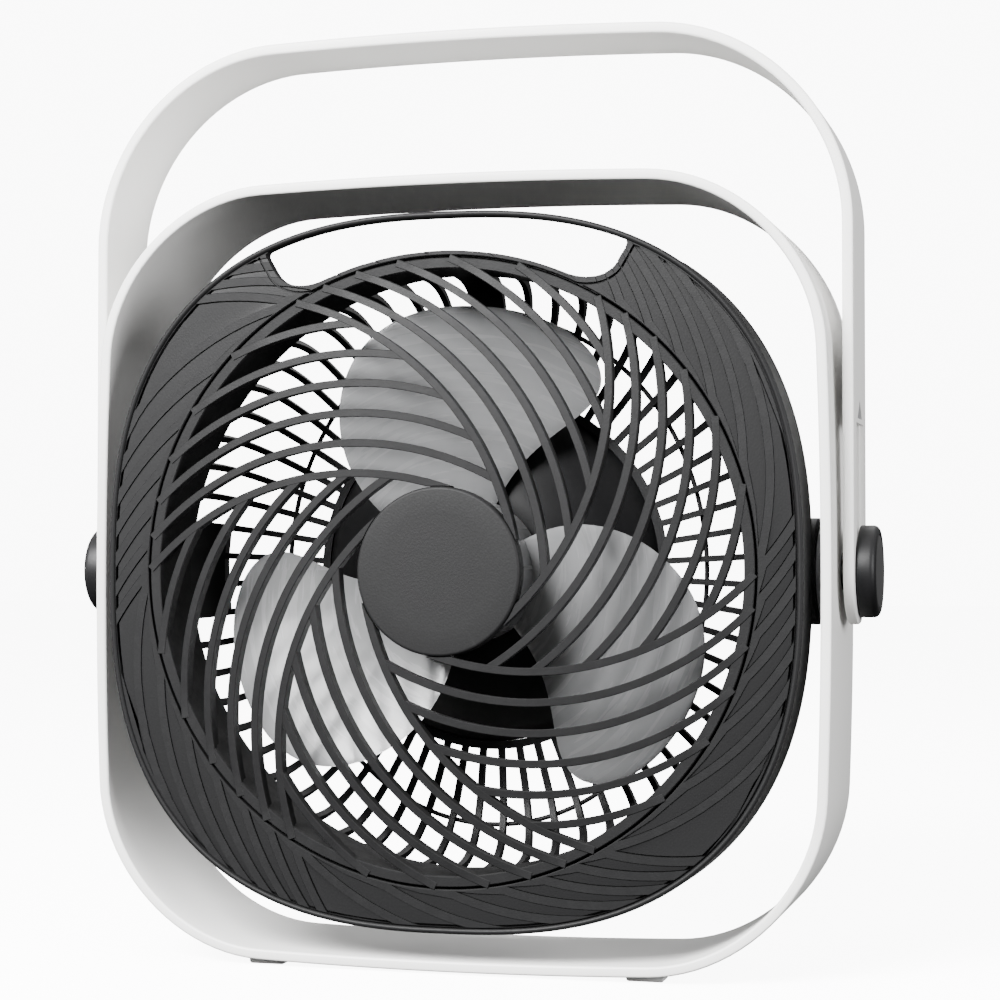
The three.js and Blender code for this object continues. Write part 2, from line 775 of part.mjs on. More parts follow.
function sectorRibs(sector) {
  const spine = spineCentre(sector);
  const next = spineCentre(sector + 1);
  const step = new THREE.Vector2(0, ribPitch);
  step.rotateAround(new THREE.Vector2(), radians((-360 / sectorCount) * sector));
  const rimStart = grilleRadius - 0.7 * ribWidth;
  const bars = [ribBar(spine, angleAtRadius(spine, rimStart), angleAtHub(spine))];
  for (let i = 1; i <= ribsPerSector; i += 1) {
    const centre = spine.clone().addScaledVector(step, i);
    const end = crossing(centre, next).sub(centre).angle();
    bars.push(ribBar(centre, angleAtRadius(centre, rimStart), end));
  }
  return bars;
}

// The spine runs on until it sinks into the hub plate.
function angleAtHub(centre) {
  const nearest = centre.clone().multiplyScalar(-1).angle();
  return nearest + radians(4);
}

// Pushes the middle of the grille forwards, flat over the hub and falling to the rim.
function crowned(geometry) {
  const position = geometry.attributes.position;
  for (let i = 0; i < position.count; i += 1) {
    const radius = Math.hypot(position.getX(i), position.getZ(i));
    const share = THREE.MathUtils.clamp((radius - hubRadius) / (openingRadius - hubRadius), 0, 1);
    position.setY(i, position.getY(i) - grilleCrown * (1 - share ** 2));
  }
  return geometry;
}

function frontGrille() {
  const plateFront = hubCapFront + hubCapHeight + gap + grilleCrown;
  const bodies = [
    solid(ring(openingRadius, grilleRadius, -headFront, -headFront + grilleRimThickness, 48)),
    solid(disc(hubRadius, plateFront, plateFront + hubPlateThickness, 24)),
  ];
  for (let sector = 0; sector < sectorCount; sector += 1) bodies.push(...sectorRibs(sector));
  const capRoom = solid(disc(hubRadius + gap, plateFront - 4 * overcut, plateFront, 24));
  const ductRoom = solid(ring(ductInner - 3 * gap, grilleRadius + 5, ductFront - gap, 0, roundSteps));
  const body = joined(bodies).subtract(joined([capRoom, ductRoom]));
  return named('front_grille', crowned(surface(body)), darkPlastic);
}

function hubCap() {
  const back = hubCapFront + hubCapHeight;
  const profile = [
    [0, hubCapFront],
    [hubRadius - hubCapRound, hubCapFront],
    [hubRadius, hubCapFront + hubCapRound],
    [hubRadius, back],
    [0, back],
  ];
  return named('hub_cap', turned(profile, 30), capPlastic);
}

// ---------------------------------------------------------------- fan wheel

// One side of a blade: a point at a share of the radius and of the width.
function bladePoint(radiusShare, widthShare, side) {
  const radius = wheelHubRadius - 1 + (bladeTip - wheelHubRadius + 1) * radiusShare;
  const middle = bladeTopMiddle - bladeSweep * THREE.MathUtils.smoothstep(radiusShare, 0, 1);
  const tipRound = (1 - radiusShare ** bladeTipShape[0]) ** bladeTipShape[1];
  const across = 2 * widthShare - 1;
  const spot = polar(radius, middle + bladeHalfWidth * tipRound * across);
  const rise = bladeRootRise + (bladeTipRise - bladeRootRise) * radiusShare;
  const camber = bladeCamber * (1 - across ** 2);
  const y = bladePlane - (rise * across + camber) * tipRound + (side * bladeThickness) / 2;
  return new THREE.Vector3(spot.x, y, spot.y);
}

function blade(turn) {
  const radiusShares = [0, 0.25, 0.5, 0.7, 0.83, 0.92, 0.97, 0.995];
  const widthSteps = 6;
  const loops = radiusShares.map((share) => {
    const front = [];
    const back = [];
    for (let i = 0; i <= widthSteps; i += 1) {
      front.push(bladePoint(share, i / widthSteps, -1));
      back.push(bladePoint(share, i / widthSteps, 1));
    }
    return [...front, ...back.reverse()];
  });
  const geometry = capped(loops);
  geometry.rotateY(-radians(turn));
  return solid(geometry);
}

// Joins loops one after another and closes both ends with a strip across the loop.
function capped(loops) {
  const count = loops[0].length;
  const positions = loops.flat().flatMap((point) => [point.x, point.y, point.z]);
  const index = [];
  for (let k = 0; k + 1 < loops.length; k += 1) {
    for (let i = 0; i < count; i += 1) {
      const j = (i + 1) % count;
      const [a, b] = [k * count + i, k * count + j];
      index.push(a, b, b + count, a, b + count, a + count);
    }
  }
  const last = (loops.length - 1) * count;
  for (let i = 0; i + 1 < count / 2; i += 1) {
    const [a, b, c, d] = [i, i + 1, count - 2 - i, count - 1 - i];
    index.push(a, c, b, a, d, c);
    index.push(last + a, last + b, last + c, last + a, last + c, last + d);
  }
  const geometry = new THREE.BufferGeometry();
  geometry.setAttribute('position', new THREE.Float32BufferAttribute(positions, 3));
  geometry.setIndex(index);
  return geometry;
}

function fanWheel() {
  const inner = wheelHubRadius - wheelHubWall;
  const bore = shaftRadius + gap;
  const webBack = wheelHubFront + 9;
  const profile = [
    [bore, wheelHubFront + 1],
    [inner - 3, wheelHubFront],
    [wheelHubRadius, wheelHubFront + 4],
    [wheelHubRadius, wheelHubBack],
    [inner, wheelHubBack],
    [inner, wheelHubFront + 6],
    [8, wheelHubFront + 5],
    [8, webBack + 6],
    [bore, webBack + 6],
    [bore, wheelHubFront + 1],
  ];
  const bodies = [solid(turned(profile, 24))];
  for (let i = 0; i < bladeCount; i += 1) bodies.push(blade((360 / bladeCount) * i));
  const core = solid(disc(inner - 0.4, wheelHubFront + 7, wheelHubBack + 5, 24));
  const post = solid(disc(8.5, wheelHubFront + 7, wheelHubBack + 5, 24));
  return named('fan_wheel', surface(joined(bodies).subtract(core.subtract(post))), bladePlastic);
}

function bladeNut() {
  const back = wheelHubFront + 1 - gap;
  const bore = (shaftRadius + gap) / Math.cos(Math.PI / 6);
  const profile = [
    [bore, back],
    [nutRadius, back],
    [nutRadius, back - nutHeight],
    [bore, back - nutHeight],
    [bore, back],
  ];
  return named('blade_nut', turned(profile, 6), steel);
}

// ---------------------------------------------------------------- motor

function motorShaft() {
  return named('motor_shaft', disc(shaftRadius, shaftFront, shaftBack, 20), steel);
}

function rotorMagnet() {
  const front = motorPlane - magnetLength / 2;
  const geometry = ring(shaftRadius + gap, magnetRadius, front, front + magnetLength, 24);
  return named('rotor_magnet', geometry, magnet);
}

function motorStator() {
  const front = motorPlane - magnetLength / 2;
  const back = front + magnetLength;
  const bodies = [solid(ring(statorRadius - 4, statorRadius, front, back, 24))];
  for (let i = 0; i < statorTeeth; i += 1) {
    const length = statorRadius - 3 - statorBore;
    const tooth = box(length, magnetLength, 6.5, statorBore + length / 2, motorPlane, 0);
    tooth.rotateY(radians((360 / statorTeeth) * i));
    bodies.push(solid(tooth));
  }
  return named('motor_stator', surface(joined(bodies)), copper);
}

function bearing(name, plane) {
  return named(name, ring(shaftRadius + runningGap, bearingRadius, plane, plane + bearingWidth, 20), steel);
}

function motorHousing() {
  const seat = bearingRadius + gap;
  const wall = motorWall;
  const front = motorHousingFront;
  const nose = motorHousingNose;
  const rim = motorHousingRadius;
  const back = motorHousingBack;
  const profile = [
    [shaftRadius + 1, front],
    [nose, front],
    [nose + 7, front + 2.4],
    [nose + motorShoulder, front + motorShoulderDepth],
    [rim - 4, front + motorRimDepth],
    [rim, back],
    [rim - wall, back],
    [rim - 4 - wall, front + motorRimDepth + wall / 2],
    [nose + motorShoulder - wall, front + motorShoulderDepth + wall],
    [nose + 6, front + 2.4 + wall],
    [nose - 1, front + wall],
    [seat + 2, front + wall],
    [seat + 2, front + wall + bearingWidth],
    [seat, front + wall + bearingWidth],
    [seat, front + wall - gap],
    [shaftRadius + 1, front + wall - gap],
    [shaftRadius + 1, front],
  ];
  const cup = solid(turned(profile, 30));
  const sleeveInner = statorRadius + gap;
  const sleeveBack = boardPlane - gap;
  const sleeve = solid(ring(sleeveInner, sleeveInner + sleeveWall, front + wall / 2, sleeveBack, 20));
  return named('motor_housing', surface(joined([cup, sleeve])), blackPlastic);
}

function motorEndPlate() {
  const seat = bearingRadius + gap;
  const web = bearingRearPlane - gap;
  const profile = [
    [shaftRadius + 1, endPlateFront],
    [statorRadius, endPlateFront],
    [statorRadius, web],
    [seat + 2, web],
    [seat + 2, bearingRearPlane + bearingWidth],
    [seat, bearingRearPlane + bearingWidth],
    [seat, web],
    [shaftRadius + 1, web],
    [shaftRadius + 1, endPlateFront],
  ];
  return named('motor_end_plate', turned(profile), blackPlastic);
}

function controlBoard() {
  const shape = new THREE.Shape();
  shape.absarc(0, 0, statorRadius + gap + sleeveWall, 0, 2 * Math.PI, false);
  shape.holes.push(circlePath(dialStem + 1));
  return named('control_board', closed(plate(shape, boardPlane, boardPlane + boardThickness)), board);
}

// ---------------------------------------------------------------- rear grille and cover

// A bowl's section from rim to collar, as (radius, plane): a quarter of a squared ellipse.
function bowlSection(rimRadius, collarBack) {
  const steps = [0, 18, 36, 52, 66, 79, 90];
  const power = 2 / bowlSquareness;
  return steps.map((degrees) => {
    const out = Math.max(0, Math.cos(radians(degrees))) ** power;
    const back = Math.sin(radians(degrees)) ** power;
    return [bowlCollar + (rimRadius - bowlCollar) * out, bowlFront + (collarBack - bowlFront) * back];
  });
}

// Plane of the bowl's back face at a distance from the axis.
function bowlBack(radius) {
  const out = THREE.MathUtils.clamp((radius - bowlCollar) / (bowlRadius - bowlCollar), 0, 1);
  return bowlFront + (rearCollarBack - bowlFront) * (1 - out ** bowlSquareness) ** (1 / bowlSquareness);
}

// A slot between two ribs, cut straight through from the front.
function bowlSlot(angle, outer, yFront) {
  const inner = bowlCollar + rearCollarWidth;
  const pitch = 360 / rearRibCount;
  const half = (radius) => pitch / 2 - THREE.MathUtils.radToDeg(rearRibWidth / 2 / radius);
  const outline = [
    polar(inner, angle - half(inner)),
    polar(outer, angle - half(outer)),
    polar(outer, angle + half(outer)),
    polar(inner, angle + half(inner)),
  ];
  return solid(plate(new THREE.Shape(outline), yFront, rearCollarBack + 5));
}

// A deep bowl of ribs. One slot at the top is left whole as the channel of the motor's wires.
function rearGrille() {
  const inside = bowlSection(bowlRadius - rearRibDepth, rearCollarBack - rearRibDepth);
  const outside = bowlSection(bowlRadius, rearCollarBack);
  const section = [...outside, ...inside.reverse(), outside[0]];
  const bowl = solid(turned(section, rearRibCount));
  const pitch = 360 / rearRibCount;
  const slots = [];
  for (let i = 0; i < rearRibCount; i += 1) {
    const angle = pitch * i;
    const offSide = Math.min(angle % 180, 180 - (angle % 180));
    if (angle === 90) continue;
    const beside = offSide < pivotPanelHalf;
    const outer = beside ? bowlRadius - pivotPanelInset : bowlRadius + 5;
    slots.push(bowlSlot(angle, outer, bowlFront + rearRimDepth));
  }
  return named('rear_grille', surface(bowl.subtract(joined(slots))), blackPlastic);
}

// A thin oval hoop that lies against the backs of the ribs and ties them together.
function rearRing() {
  const across = bowlRadius - rearRingInset;
  const up = across + rearRingStretch;
  const points = [];
  for (let i = 0; i < loopSteps; i += 1) points.push(radians((360 * i) / loopSteps));
  const loop = (grow, lift) => points.map((angle) => {
    const x = (across + grow) * Math.cos(angle);
    const z = (up + grow) * Math.sin(angle);
    return new THREE.Vector3(x, bowlBack(Math.hypot(x, z)) + lift, z);
  });
  const half = rearRingWidth / 2;
  const back = gap + rearRingWidth;
  const loops = [loop(-half, gap), loop(half, gap), loop(half, back), loop(-half, back)];
  return named('rear_ring', lofted(loops), blackPlastic);
}

const coverScrewSpots = () => {
  const spots = [];
  for (let i = 0; i < coverScrewCount; i += 1) {
    spots.push(polar(coverScrewRadius, 90 + (360 / coverScrewCount) * (i + 0.5)));
  }
  return spots;
};

function rearCover() {
  const rim = motorHousingRadius;
  const front = motorHousingBack + gap;
  const profile = [
    [rim, front],
    [rim, front + 3],
    [rim - 2.2, front + 7.5],
    [rim - coverEdgeRound, coverBack - 2],
    [rim - coverEdgeRound - 8, coverBack],
    [dialStem + gap, coverBack],
    [dialStem + gap, coverBack - coverWall],
    [rim - coverEdgeRound - 8, coverBack - coverWall],
    [rim - coverEdgeRound - 1, coverBack - 2 - coverWall],
    [rim - 2.2 - coverWall, front + 6.5],
    [rim - coverWall, front + 3],
    [rim - coverWall, front],
    [rim, front],
  ];
  const bodies = [solid(turned(profile, 30))];
  const inletFront = coverBack - coverWall - 3;
  const holes = [columnAt(0, -inletDrop, inletRadius + gap, inletFront, coverBack + 3, roundSteps)];
  for (const spot of coverScrewSpots()) {
    bodies.push(columnAt(spot.x, spot.y, 4.6, front, coverBack - coverWall / 2));
    holes.push(columnAt(spot.x, spot.y, screwShankRadius + gap, front - 1, coverBack + 1));
    holes.push(columnAt(spot.x, spot.y, screwHeadRadius + gap, front + coverScrewLength, coverBack + 1));
  }
  return named('rear_cover', surface(joined(bodies).subtract(joined(holes))), darkPlastic);
}

function speedDial() {
  const face = coverBack + gap;
  const knobBody = solid(turned([
    [0, boardPlane + boardThickness + gap],
    [dialStem, boardPlane + boardThickness + gap],
    [dialStem, face],
    [dialRadius, face],
    [dialRadius, dialTop - 2.2],
    [dialRadius - 1, dialTop - 1.4],
    [0, dialTop - 1.4],
  ], 32));
  const ridge = solid(box(dialRidgeWidth, 1.6, 2 * dialRadius - 4, 0, dialTop - 0.8, 0));
  return named('speed_dial', surface(knobBody.add(ridge)), blackPlastic);
}

function cordInlet() {
  const inner = coverBack - coverWall - 2.5;
  const profile = [
    [inletHole, inner],
    [inletRadius + 1.6, inner],
    [inletRadius + 1.6, coverBack - coverWall - gap],
    [inletRadius, coverBack - coverWall - gap],
    [inletRadius, coverBack + inletProud],
    [inletHole, coverBack + inletProud],
    [inletHole, inner],
  ];
  const geometry = turned(profile, 20);
  geometry.translate(0, 0, -inletDrop);
  return named('cord_inlet', geometry, blackPlastic);
}

// ---------------------------------------------------------------- fasteners

// A pan-head screw driven towards the front: its head's under face lies at the seat.
function screw(name, x, z, seat, length) {
  const profile = [
    [0, seat - length],
    [screwShankRadius, seat - length + 1],
    [screwShankRadius, seat],
    [screwHeadRadius, seat],
    [screwHeadRadius, seat + 0.6 * screwHeadHeight],
    [screwHeadRadius - 1, seat + screwHeadHeight],
    [0, seat + screwHeadHeight],
  ];
  const geometry = turned(profile, smallSteps);
  geometry.translate(x, 0, z);
  return named(name, geometry, steel);
}

function pivotBolt(name, side) {
  const profile = [
    [0, boltInnerX],
    [boltRadius, boltInnerX],
    [boltRadius, boltOuterX - 0.6],
    [boltRadius - 0.6, boltOuterX],
    [0, boltOuterX],
  ];
  return named(name, turnedAcross(profile, side, 20), steel);
}

function frictionWasher(name, side) {
  const inner = boltRadius + gap;
  const outerX = washerInnerX + washerThickness;
  const profile = [
    [inner, washerInnerX],
    [washerRadius - 0.4, washerInnerX],
    [washerRadius, outerX],
    [inner, outerX],
    [inner, washerInnerX],
  ];
  return named(name, turnedAcross(profile, side, 24), greyPlastic);
}

// ---------------------------------------------------------------- assembly

function lifted(...pieces) {
  const group = new THREE.Group();
  group.position.z = pivotHeight;
  group.add(...pieces);
  return group;
}

function stand() {
  return [
    hoopStand(),
    foot('foot_front_left', -1, -1),
    foot('foot_front_right', 1, -1),
    foot('foot_rear_left', -1, 1),
    foot('foot_rear_right', 1, 1),
  ];
}

const sides = [['left', -1], ['right', 1]];

function pivotPieces() {
  return sides.flatMap(([word, side]) => [
    pivotBush(`pivot_bush_${word}`, side),
    guideBlock(`guide_block_${word}`, side),
    frictionWasher(`friction_washer_${word}`, side),
    pivotBolt(`pivot_bolt_${word}`, side),
    knob(`knob_${word}`, side),
    knobFace(`knob_face_${word}`, side),
  ]);
}

function screws() {
  const housingSeat = housingBossEnd + gap + 3 + gap;
  const housing = cornerSpots.map(([x, z], i) =>
    screw(`housing_screw_${i + 1}`, x * housingScrewSpot, z * housingScrewSpot, housingSeat,
      housingScrewLength));
  const coverSeat = motorHousingBack + gap + coverScrewLength + gap;
  const cover = coverScrewSpots().map((spot, i) =>
    screw(`cover_screw_${i + 1}`, spot.x, spot.y, coverSeat, coverScrewLength));
  return [...housing, ...cover];
}

const fan = new THREE.Group();
fan.add(...stand());
fan.add(lifted(carryHandle(), ...pivotPieces()));
fan.add(lifted(frontBezel(), frontGrille(), hubCap(), rearHousing(), rearGrille(), rearRing()));
fan.add(lifted(rearCover(), cordInlet(), speedDial()));
fan.add(lifted(motorHousing(), motorStator(), motorEndPlate(), controlBoard()));
fan.add(lifted(bearing('bearing_front', bearingFrontPlane), bearing('bearing_rear', bearingRearPlane)));
fan.add(lifted(fanWheel(), bladeNut(), motorShaft(), rotorMagnet()));
fan.add(lifted(...screws()));

export default fan;
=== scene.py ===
# %% [markdown]
# # A round-cornered table fan in a carrying hoop
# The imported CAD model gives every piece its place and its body. This lesson dresses that model:
# it makes finer meshes where the eye rests, and a procedural finish for everything that shows.
# The frame comes first, because each later step sits on it.

import json
import math

import bmesh
import bpy
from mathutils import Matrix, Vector


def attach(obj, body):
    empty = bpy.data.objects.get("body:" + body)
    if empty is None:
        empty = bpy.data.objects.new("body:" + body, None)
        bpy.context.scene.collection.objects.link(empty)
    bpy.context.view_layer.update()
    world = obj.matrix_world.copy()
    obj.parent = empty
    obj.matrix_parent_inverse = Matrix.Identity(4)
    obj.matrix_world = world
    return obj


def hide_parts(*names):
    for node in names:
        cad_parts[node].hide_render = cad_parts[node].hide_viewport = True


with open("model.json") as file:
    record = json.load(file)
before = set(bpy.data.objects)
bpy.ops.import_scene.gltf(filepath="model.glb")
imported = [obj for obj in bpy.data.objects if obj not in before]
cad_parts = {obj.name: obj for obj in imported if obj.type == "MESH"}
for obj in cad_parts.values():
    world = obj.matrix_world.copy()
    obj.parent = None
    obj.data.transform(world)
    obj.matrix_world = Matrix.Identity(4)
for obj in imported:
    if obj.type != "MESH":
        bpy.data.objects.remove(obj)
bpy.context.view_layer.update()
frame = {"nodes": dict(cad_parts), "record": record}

# %% [markdown]
# ## Units and the pivot
# Shapes are worked out in millimetres round the pivot, as on a drawing: x to the right, y to the
# back, z up from the pivot's axis. One helper turns such points into a Blender mesh in metres.

# %% Units, the pivot and the mesh helper
MM = 0.001
joints = {joint["name"]: joint for joint in frame["record"]["behaviour"]["joints"]}
PIVOT_HEIGHT = joints["head_tilt"]["pos_m"][2]


def add_object(name, data):
    made = bpy.data.objects.new(name, data)
    bpy.context.scene.collection.objects.link(made)
    return made


def new_piece(name, points, faces):
    mesh = bpy.data.meshes.new(name)
    mesh.from_pydata([(x * MM, y * MM, z * MM + PIVOT_HEIGHT) for x, y, z in points], [], faces)
    work = bmesh.new()
    work.from_mesh(mesh)
    bmesh.ops.remove_doubles(work, verts=work.verts, dist=1e-7)
    bmesh.ops.recalc_face_normals(work, faces=work.faces)
    work.to_mesh(mesh)
    work.free()
    return add_object(name, mesh)


print("pivot at", PIVOT_HEIGHT)

# %% [markdown]
# ## Camera, floor and light
# The picture is taken from a little to the right and almost level, with a long lens. The floor is
# pale and throws no light back, so undersides stay grey. The world is a soft white room, brighter
# from above than from below. One large lamp stands high in front, with three weaker ones round it.

# %% Camera
CAMERA_PLACE, CAMERA_TILT, CAMERA_TURN = (0.2344, -0.8269, 0.1473), 0.0231, 0.2647
camera_data = bpy.data.cameras.new("studio_camera")
camera_data.lens, camera_data.sensor_width = 84.8, 36
camera = add_object("studio_camera", camera_data)
camera.location = CAMERA_PLACE
camera.rotation_euler = (math.pi / 2 + CAMERA_TILT, 0, CAMERA_TURN)
bpy.context.scene.camera = camera
print("camera", tuple(camera.location))

# %% Node helpers


def feed(tree, made, values):
    for key, value in values.items():
        if isinstance(value, bpy.types.NodeSocket):
            tree.links.new(value, made.inputs[key])
        else:
            made.inputs[key].default_value = value
    return made


def node(tree, kind, values=None, **settings):
    made = tree.nodes.new("ShaderNode" + kind)
    for key, value in settings.items():
        setattr(made, key, value)
    return feed(tree, made, values or {})


def maths(tree, operation, first, second):
    return node(tree, "Math", {0: first, 1: second}, operation=operation).outputs[0]


def times(tree, first, second):
    return maths(tree, "MULTIPLY", first, second)


def ranged(tree, value, low, high, new_low=0, new_high=1):
    limits = {"From Min": low, "From Max": high, "To Min": new_low, "To Max": new_high}
    return node(tree, "MapRange", {"Value": value, **limits}).outputs["Result"]


def simple_node_material(name):
    material = bpy.data.materials.new(name)
    material.use_nodes = True
    tree = material.node_tree
    return material, tree, tree.nodes["Principled BSDF"]


# %% Floor
WHITE = (1, 1, 1, 1)
floor_mesh = bpy.data.meshes.new("floor")
floor_mesh.from_pydata([(-6, -6, 0), (6, -6, 0), (6, 6, 0), (-6, 6, 0)], [], [(0, 1, 2, 3)])
floor = add_object("floor", floor_mesh)
floor_material, floor_tree, floor_shader = simple_node_material("floor_paper")
paper_noise = node(floor_tree, "TexNoise", {"Scale": 3}).outputs["Fac"]
feed(floor_tree, floor_shader, {"Base Color": ranged(floor_tree, paper_noise, 0, 1, 0.93, 0.96),
                                "Roughness": 0.9, "Emission Color": WHITE, "Emission Strength": 9})
floor_material.cycles.emission_sampling = "NONE"
floor.data.materials.append(floor_material)
floor.visible_diffuse = floor.visible_glossy = False

# %% Lamps and room
LAMPS = {"lamp_key": (130, 0.8, (-0.45, -1.22, 1.0)), "lamp_right": (38, 1.0, (1.6, -0.7, 0.55)),
         "lamp_left": (11, 1.0, (-1.5, -0.6, 0.4)), "lamp_rear": (8, 1.2, (0, 1.2, 1.35))}
for name, (power, size, place) in LAMPS.items():
    lamp_data = bpy.data.lights.new(name, "AREA")
    lamp_data.energy, lamp_data.shape, lamp_data.size = power, "DISK", size
    lamp = add_object(name, lamp_data)
    lamp.location = place
    towards = Vector((0, 0, PIVOT_HEIGHT)) - Vector(place)
    lamp.rotation_euler = towards.to_track_quat("-Z", "Y").to_euler()

room = bpy.data.worlds.new("studio_room")
bpy.context.scene.world = room
room.use_nodes = True
room_tree = room.node_tree
direction = node(room_tree, "TexCoord").outputs["Generated"]
height = node(room_tree, "SeparateXYZ", {"Vector": direction}).outputs["Z"]
seen = node(room_tree, "LightPath").outputs["Is Camera Ray"]
room_light = ranged(room_tree, height, -0.2, 0.9, 0.03, 0.85)
strength = node(room_tree, "Mix", {"Factor": seen, "A": room_light, "B": 10}).outputs["Result"]
feed(room_tree, room_tree.nodes["Background"], {"Color": WHITE, "Strength": strength})
print("floor, lamps and room are set")

# %% [markdown]
# ## Effects shared by the finishes
# A moulded shell is never one flat colour: the tool leaves a fine spark grain, the tone drifts
# a little over a hand's width, edges are rubbed bright, and dust settles on faces that look up.
# Each effect is a node group that is made once, with named inputs, for the finishes to share.

# %% Group helpers


def new_group(name, inputs, outputs):
    tree = bpy.data.node_groups.new(name, "ShaderNodeTree")
    for way, labels in (("INPUT", inputs), ("OUTPUT", outputs)):
        for label in labels:
            tree.interface.new_socket(name=label, in_out=way, socket_type="NodeSocketFloat")
    return tree, tree.nodes.new("NodeGroupInput").outputs, tree.nodes.new("NodeGroupOutput")


def object_place(tree):
    return node(tree, "TexCoord").outputs["Object"]


def noise(tree, place, scale, detail, rough):
    values = {"Vector": place, "Scale": scale, "Detail": detail, "Roughness": rough}
    return node(tree, "TexNoise", values).outputs["Fac"]


# %% The spark grain of a moulding tool
grain, grain_in, grain_out = new_group("spark grain", ["Scale"], ["Height", "Speckle"])
grain_place, grain_scale = object_place(grain), grain_in["Scale"]
grain_cells = node(grain, "TexVoronoi", {"Vector": grain_place, "Scale": grain_scale},
                   feature="SMOOTH_F1").outputs["Distance"]
grain_noise = noise(grain, grain_place, grain_scale, 3.0, 0.6)
feed(grain, grain_out, {"Height": maths(grain, "ADD", grain_cells, grain_noise),
                        "Speckle": ranged(grain, grain_noise, 0.35, 0.68)})

# %% Slow drift of tone
drift, drift_in, drift_out = new_group("tone drift", ["Scale"], ["Tone"])
drift_noise = noise(drift, object_place(drift), drift_in["Scale"], 4.0, 0.55)
feed(drift, drift_out, {"Tone": ranged(drift, drift_noise, 0.3, 0.7)})

# %% Rubbed edges
wear, wear_in, wear_out = new_group("rubbed edges", ["Amount"], ["Mask"])
wear_edge = ranged(wear, node(wear, "NewGeometry").outputs["Pointiness"], 0.52, 0.6)
wear_noise = noise(wear, object_place(wear), 240.0, 5.0, 0.7)
wear_mask = times(wear, wear_edge, ranged(wear, wear_noise, 0.42, 0.62, 0.15, 1))
feed(wear, wear_out, {"Mask": times(wear, wear_mask, wear_in["Amount"])})

# %% Dust on faces that look up
dust, dust_in, dust_out = new_group("settled dust", ["Amount"], ["Mask"])
dust_normal = node(dust, "TexCoord").outputs["Normal"]
dust_up = node(dust, "SeparateXYZ", {"Vector": dust_normal}).outputs["Z"]
dust_noise = noise(dust, object_place(dust), 60.0, 6.0, 0.7)
dust_mask = times(dust, ranged(dust, dust_up, 0.25, 1.0),
                  ranged(dust, dust_noise, 0.35, 0.75, 0.2, 1))
feed(dust, dust_out, {"Mask": times(dust, dust_mask, dust_in["Amount"])})
print("node groups:", [group.name for group in bpy.data.node_groups])

# %% [markdown]
# ## The moulded finishes
# One recipe makes every plastic: two close tones mixed by the drift and the speckle, brightened
# where edges are rubbed and greyed where dust lies, with the grain as a small bump. Plastics
# differ in their tones, their roughness and how coarse the grain is.

# %% The plastic recipe
DRIFT_SCALE, DUST_TONE, RUB_GAIN, RUB_LIFT, RUB_GLOSS = 14.0, (0.5, 0.49, 0.47), 1.7, 0.006, 0.12
finishes = {}


def effect(tree, group, values, output):
    return node(tree, "Group", values, node_tree=group).outputs[output]


def mixed(tree, share, first, second):
    tones = [(*tone, 1) if isinstance(tone, tuple) else tone for tone in (first, second)]
    values = {"Factor": share, 6: tones[0], 7: tones[1]}
    return node(tree, "Mix", values, data_type="RGBA").outputs[2]


def scaled(tone, gain, lift=0.0):
    return tuple(min(1, part * gain + lift) for part in tone)


def moulded(slot, tone, spread, rough, grain_size, bump, rubbed=0.35, dusty=0.15, shine=0.5):
    finishes[slot], tree, shader = simple_node_material(slot)
    grained = node(tree, "Group", {"Scale": grain_size}, node_tree=grain).outputs
    drifted = effect(tree, drift, {"Scale": DRIFT_SCALE}, "Tone")
    worn = effect(tree, wear, {"Amount": rubbed}, "Mask")
    dusted = effect(tree, dust, {"Amount": dusty}, "Mask")
    blend = maths(tree, "ADD", times(tree, drifted, 0.5), times(tree, grained["Speckle"], 0.5))
    colour = mixed(tree, blend, scaled(tone, 1 - spread), scaled(tone, 1 + spread))
    colour = mixed(tree, worn, colour, scaled(tone, RUB_GAIN, RUB_LIFT))
    colour = mixed(tree, dusted, colour, DUST_TONE)
    gloss = ranged(tree, blend, 0, 1, rough + 0.05, rough - 0.05)
    gloss = maths(tree, "SUBTRACT", gloss, times(tree, worn, RUB_GLOSS))
    raised = node(tree, "Bump", {"Height": grained["Height"], "Strength": 1.0, "Distance": bump * MM})
    feed(tree, shader, {"Base Color": colour, "Roughness": gloss,
                        "Normal": raised.outputs["Normal"], "Specular IOR Level": shine})
    return tree, shader


# %% Plastics and rubber
moulded("white_plastic", (0.82, 0.815, 0.8), 0.02, 0.4, 2600, 0.012, rubbed=0.1, dusty=0.04)
# The feet are pale rubber. Their tone is set paler still as painted light, standing in for the light
# a white floor would throw up under the hoop.
moulded("foot_rubber", (0.84, 0.84, 0.83), 0.03, 0.8, 1800, 0.04, rubbed=0.1, dusty=0.05)
moulded("black_plastic", (0.006, 0.006, 0.0065), 0.15, 0.45, 2200, 0.012, dusty=0.02, shine=0.2)
moulded("knob_face", (0.036, 0.036, 0.0365), 0.12, 0.55, 2600, 0.02, dusty=0.03, shine=0.3)
moulded("dark_plastic", (0.0075, 0.0075, 0.0078), 0.25, 0.5, 1700, 0.022, dusty=0.01, shine=0.13)
moulded("cap_plastic", (0.008, 0.008, 0.0083), 0.25, 0.55, 1500, 0.028, dusty=0.01, shine=0.16)
moulded("washer_plastic", (0.2, 0.2, 0.21), 0.1, 0.5, 2200, 0.015)
moulded("board", (0.02, 0.14, 0.06), 0.2, 0.45, 900, 0.02)
print("plastics:", sorted(finishes))

# %% [markdown]
# ## Metals, copper, magnet and blades
# Steel is brushed: its roughness runs in fine lines. Copper is a wound wire, so fine waves raise
# it. The blades are glossy and grey, and the melt has left faint flow lines along them, which
# change both the tone and the gloss.

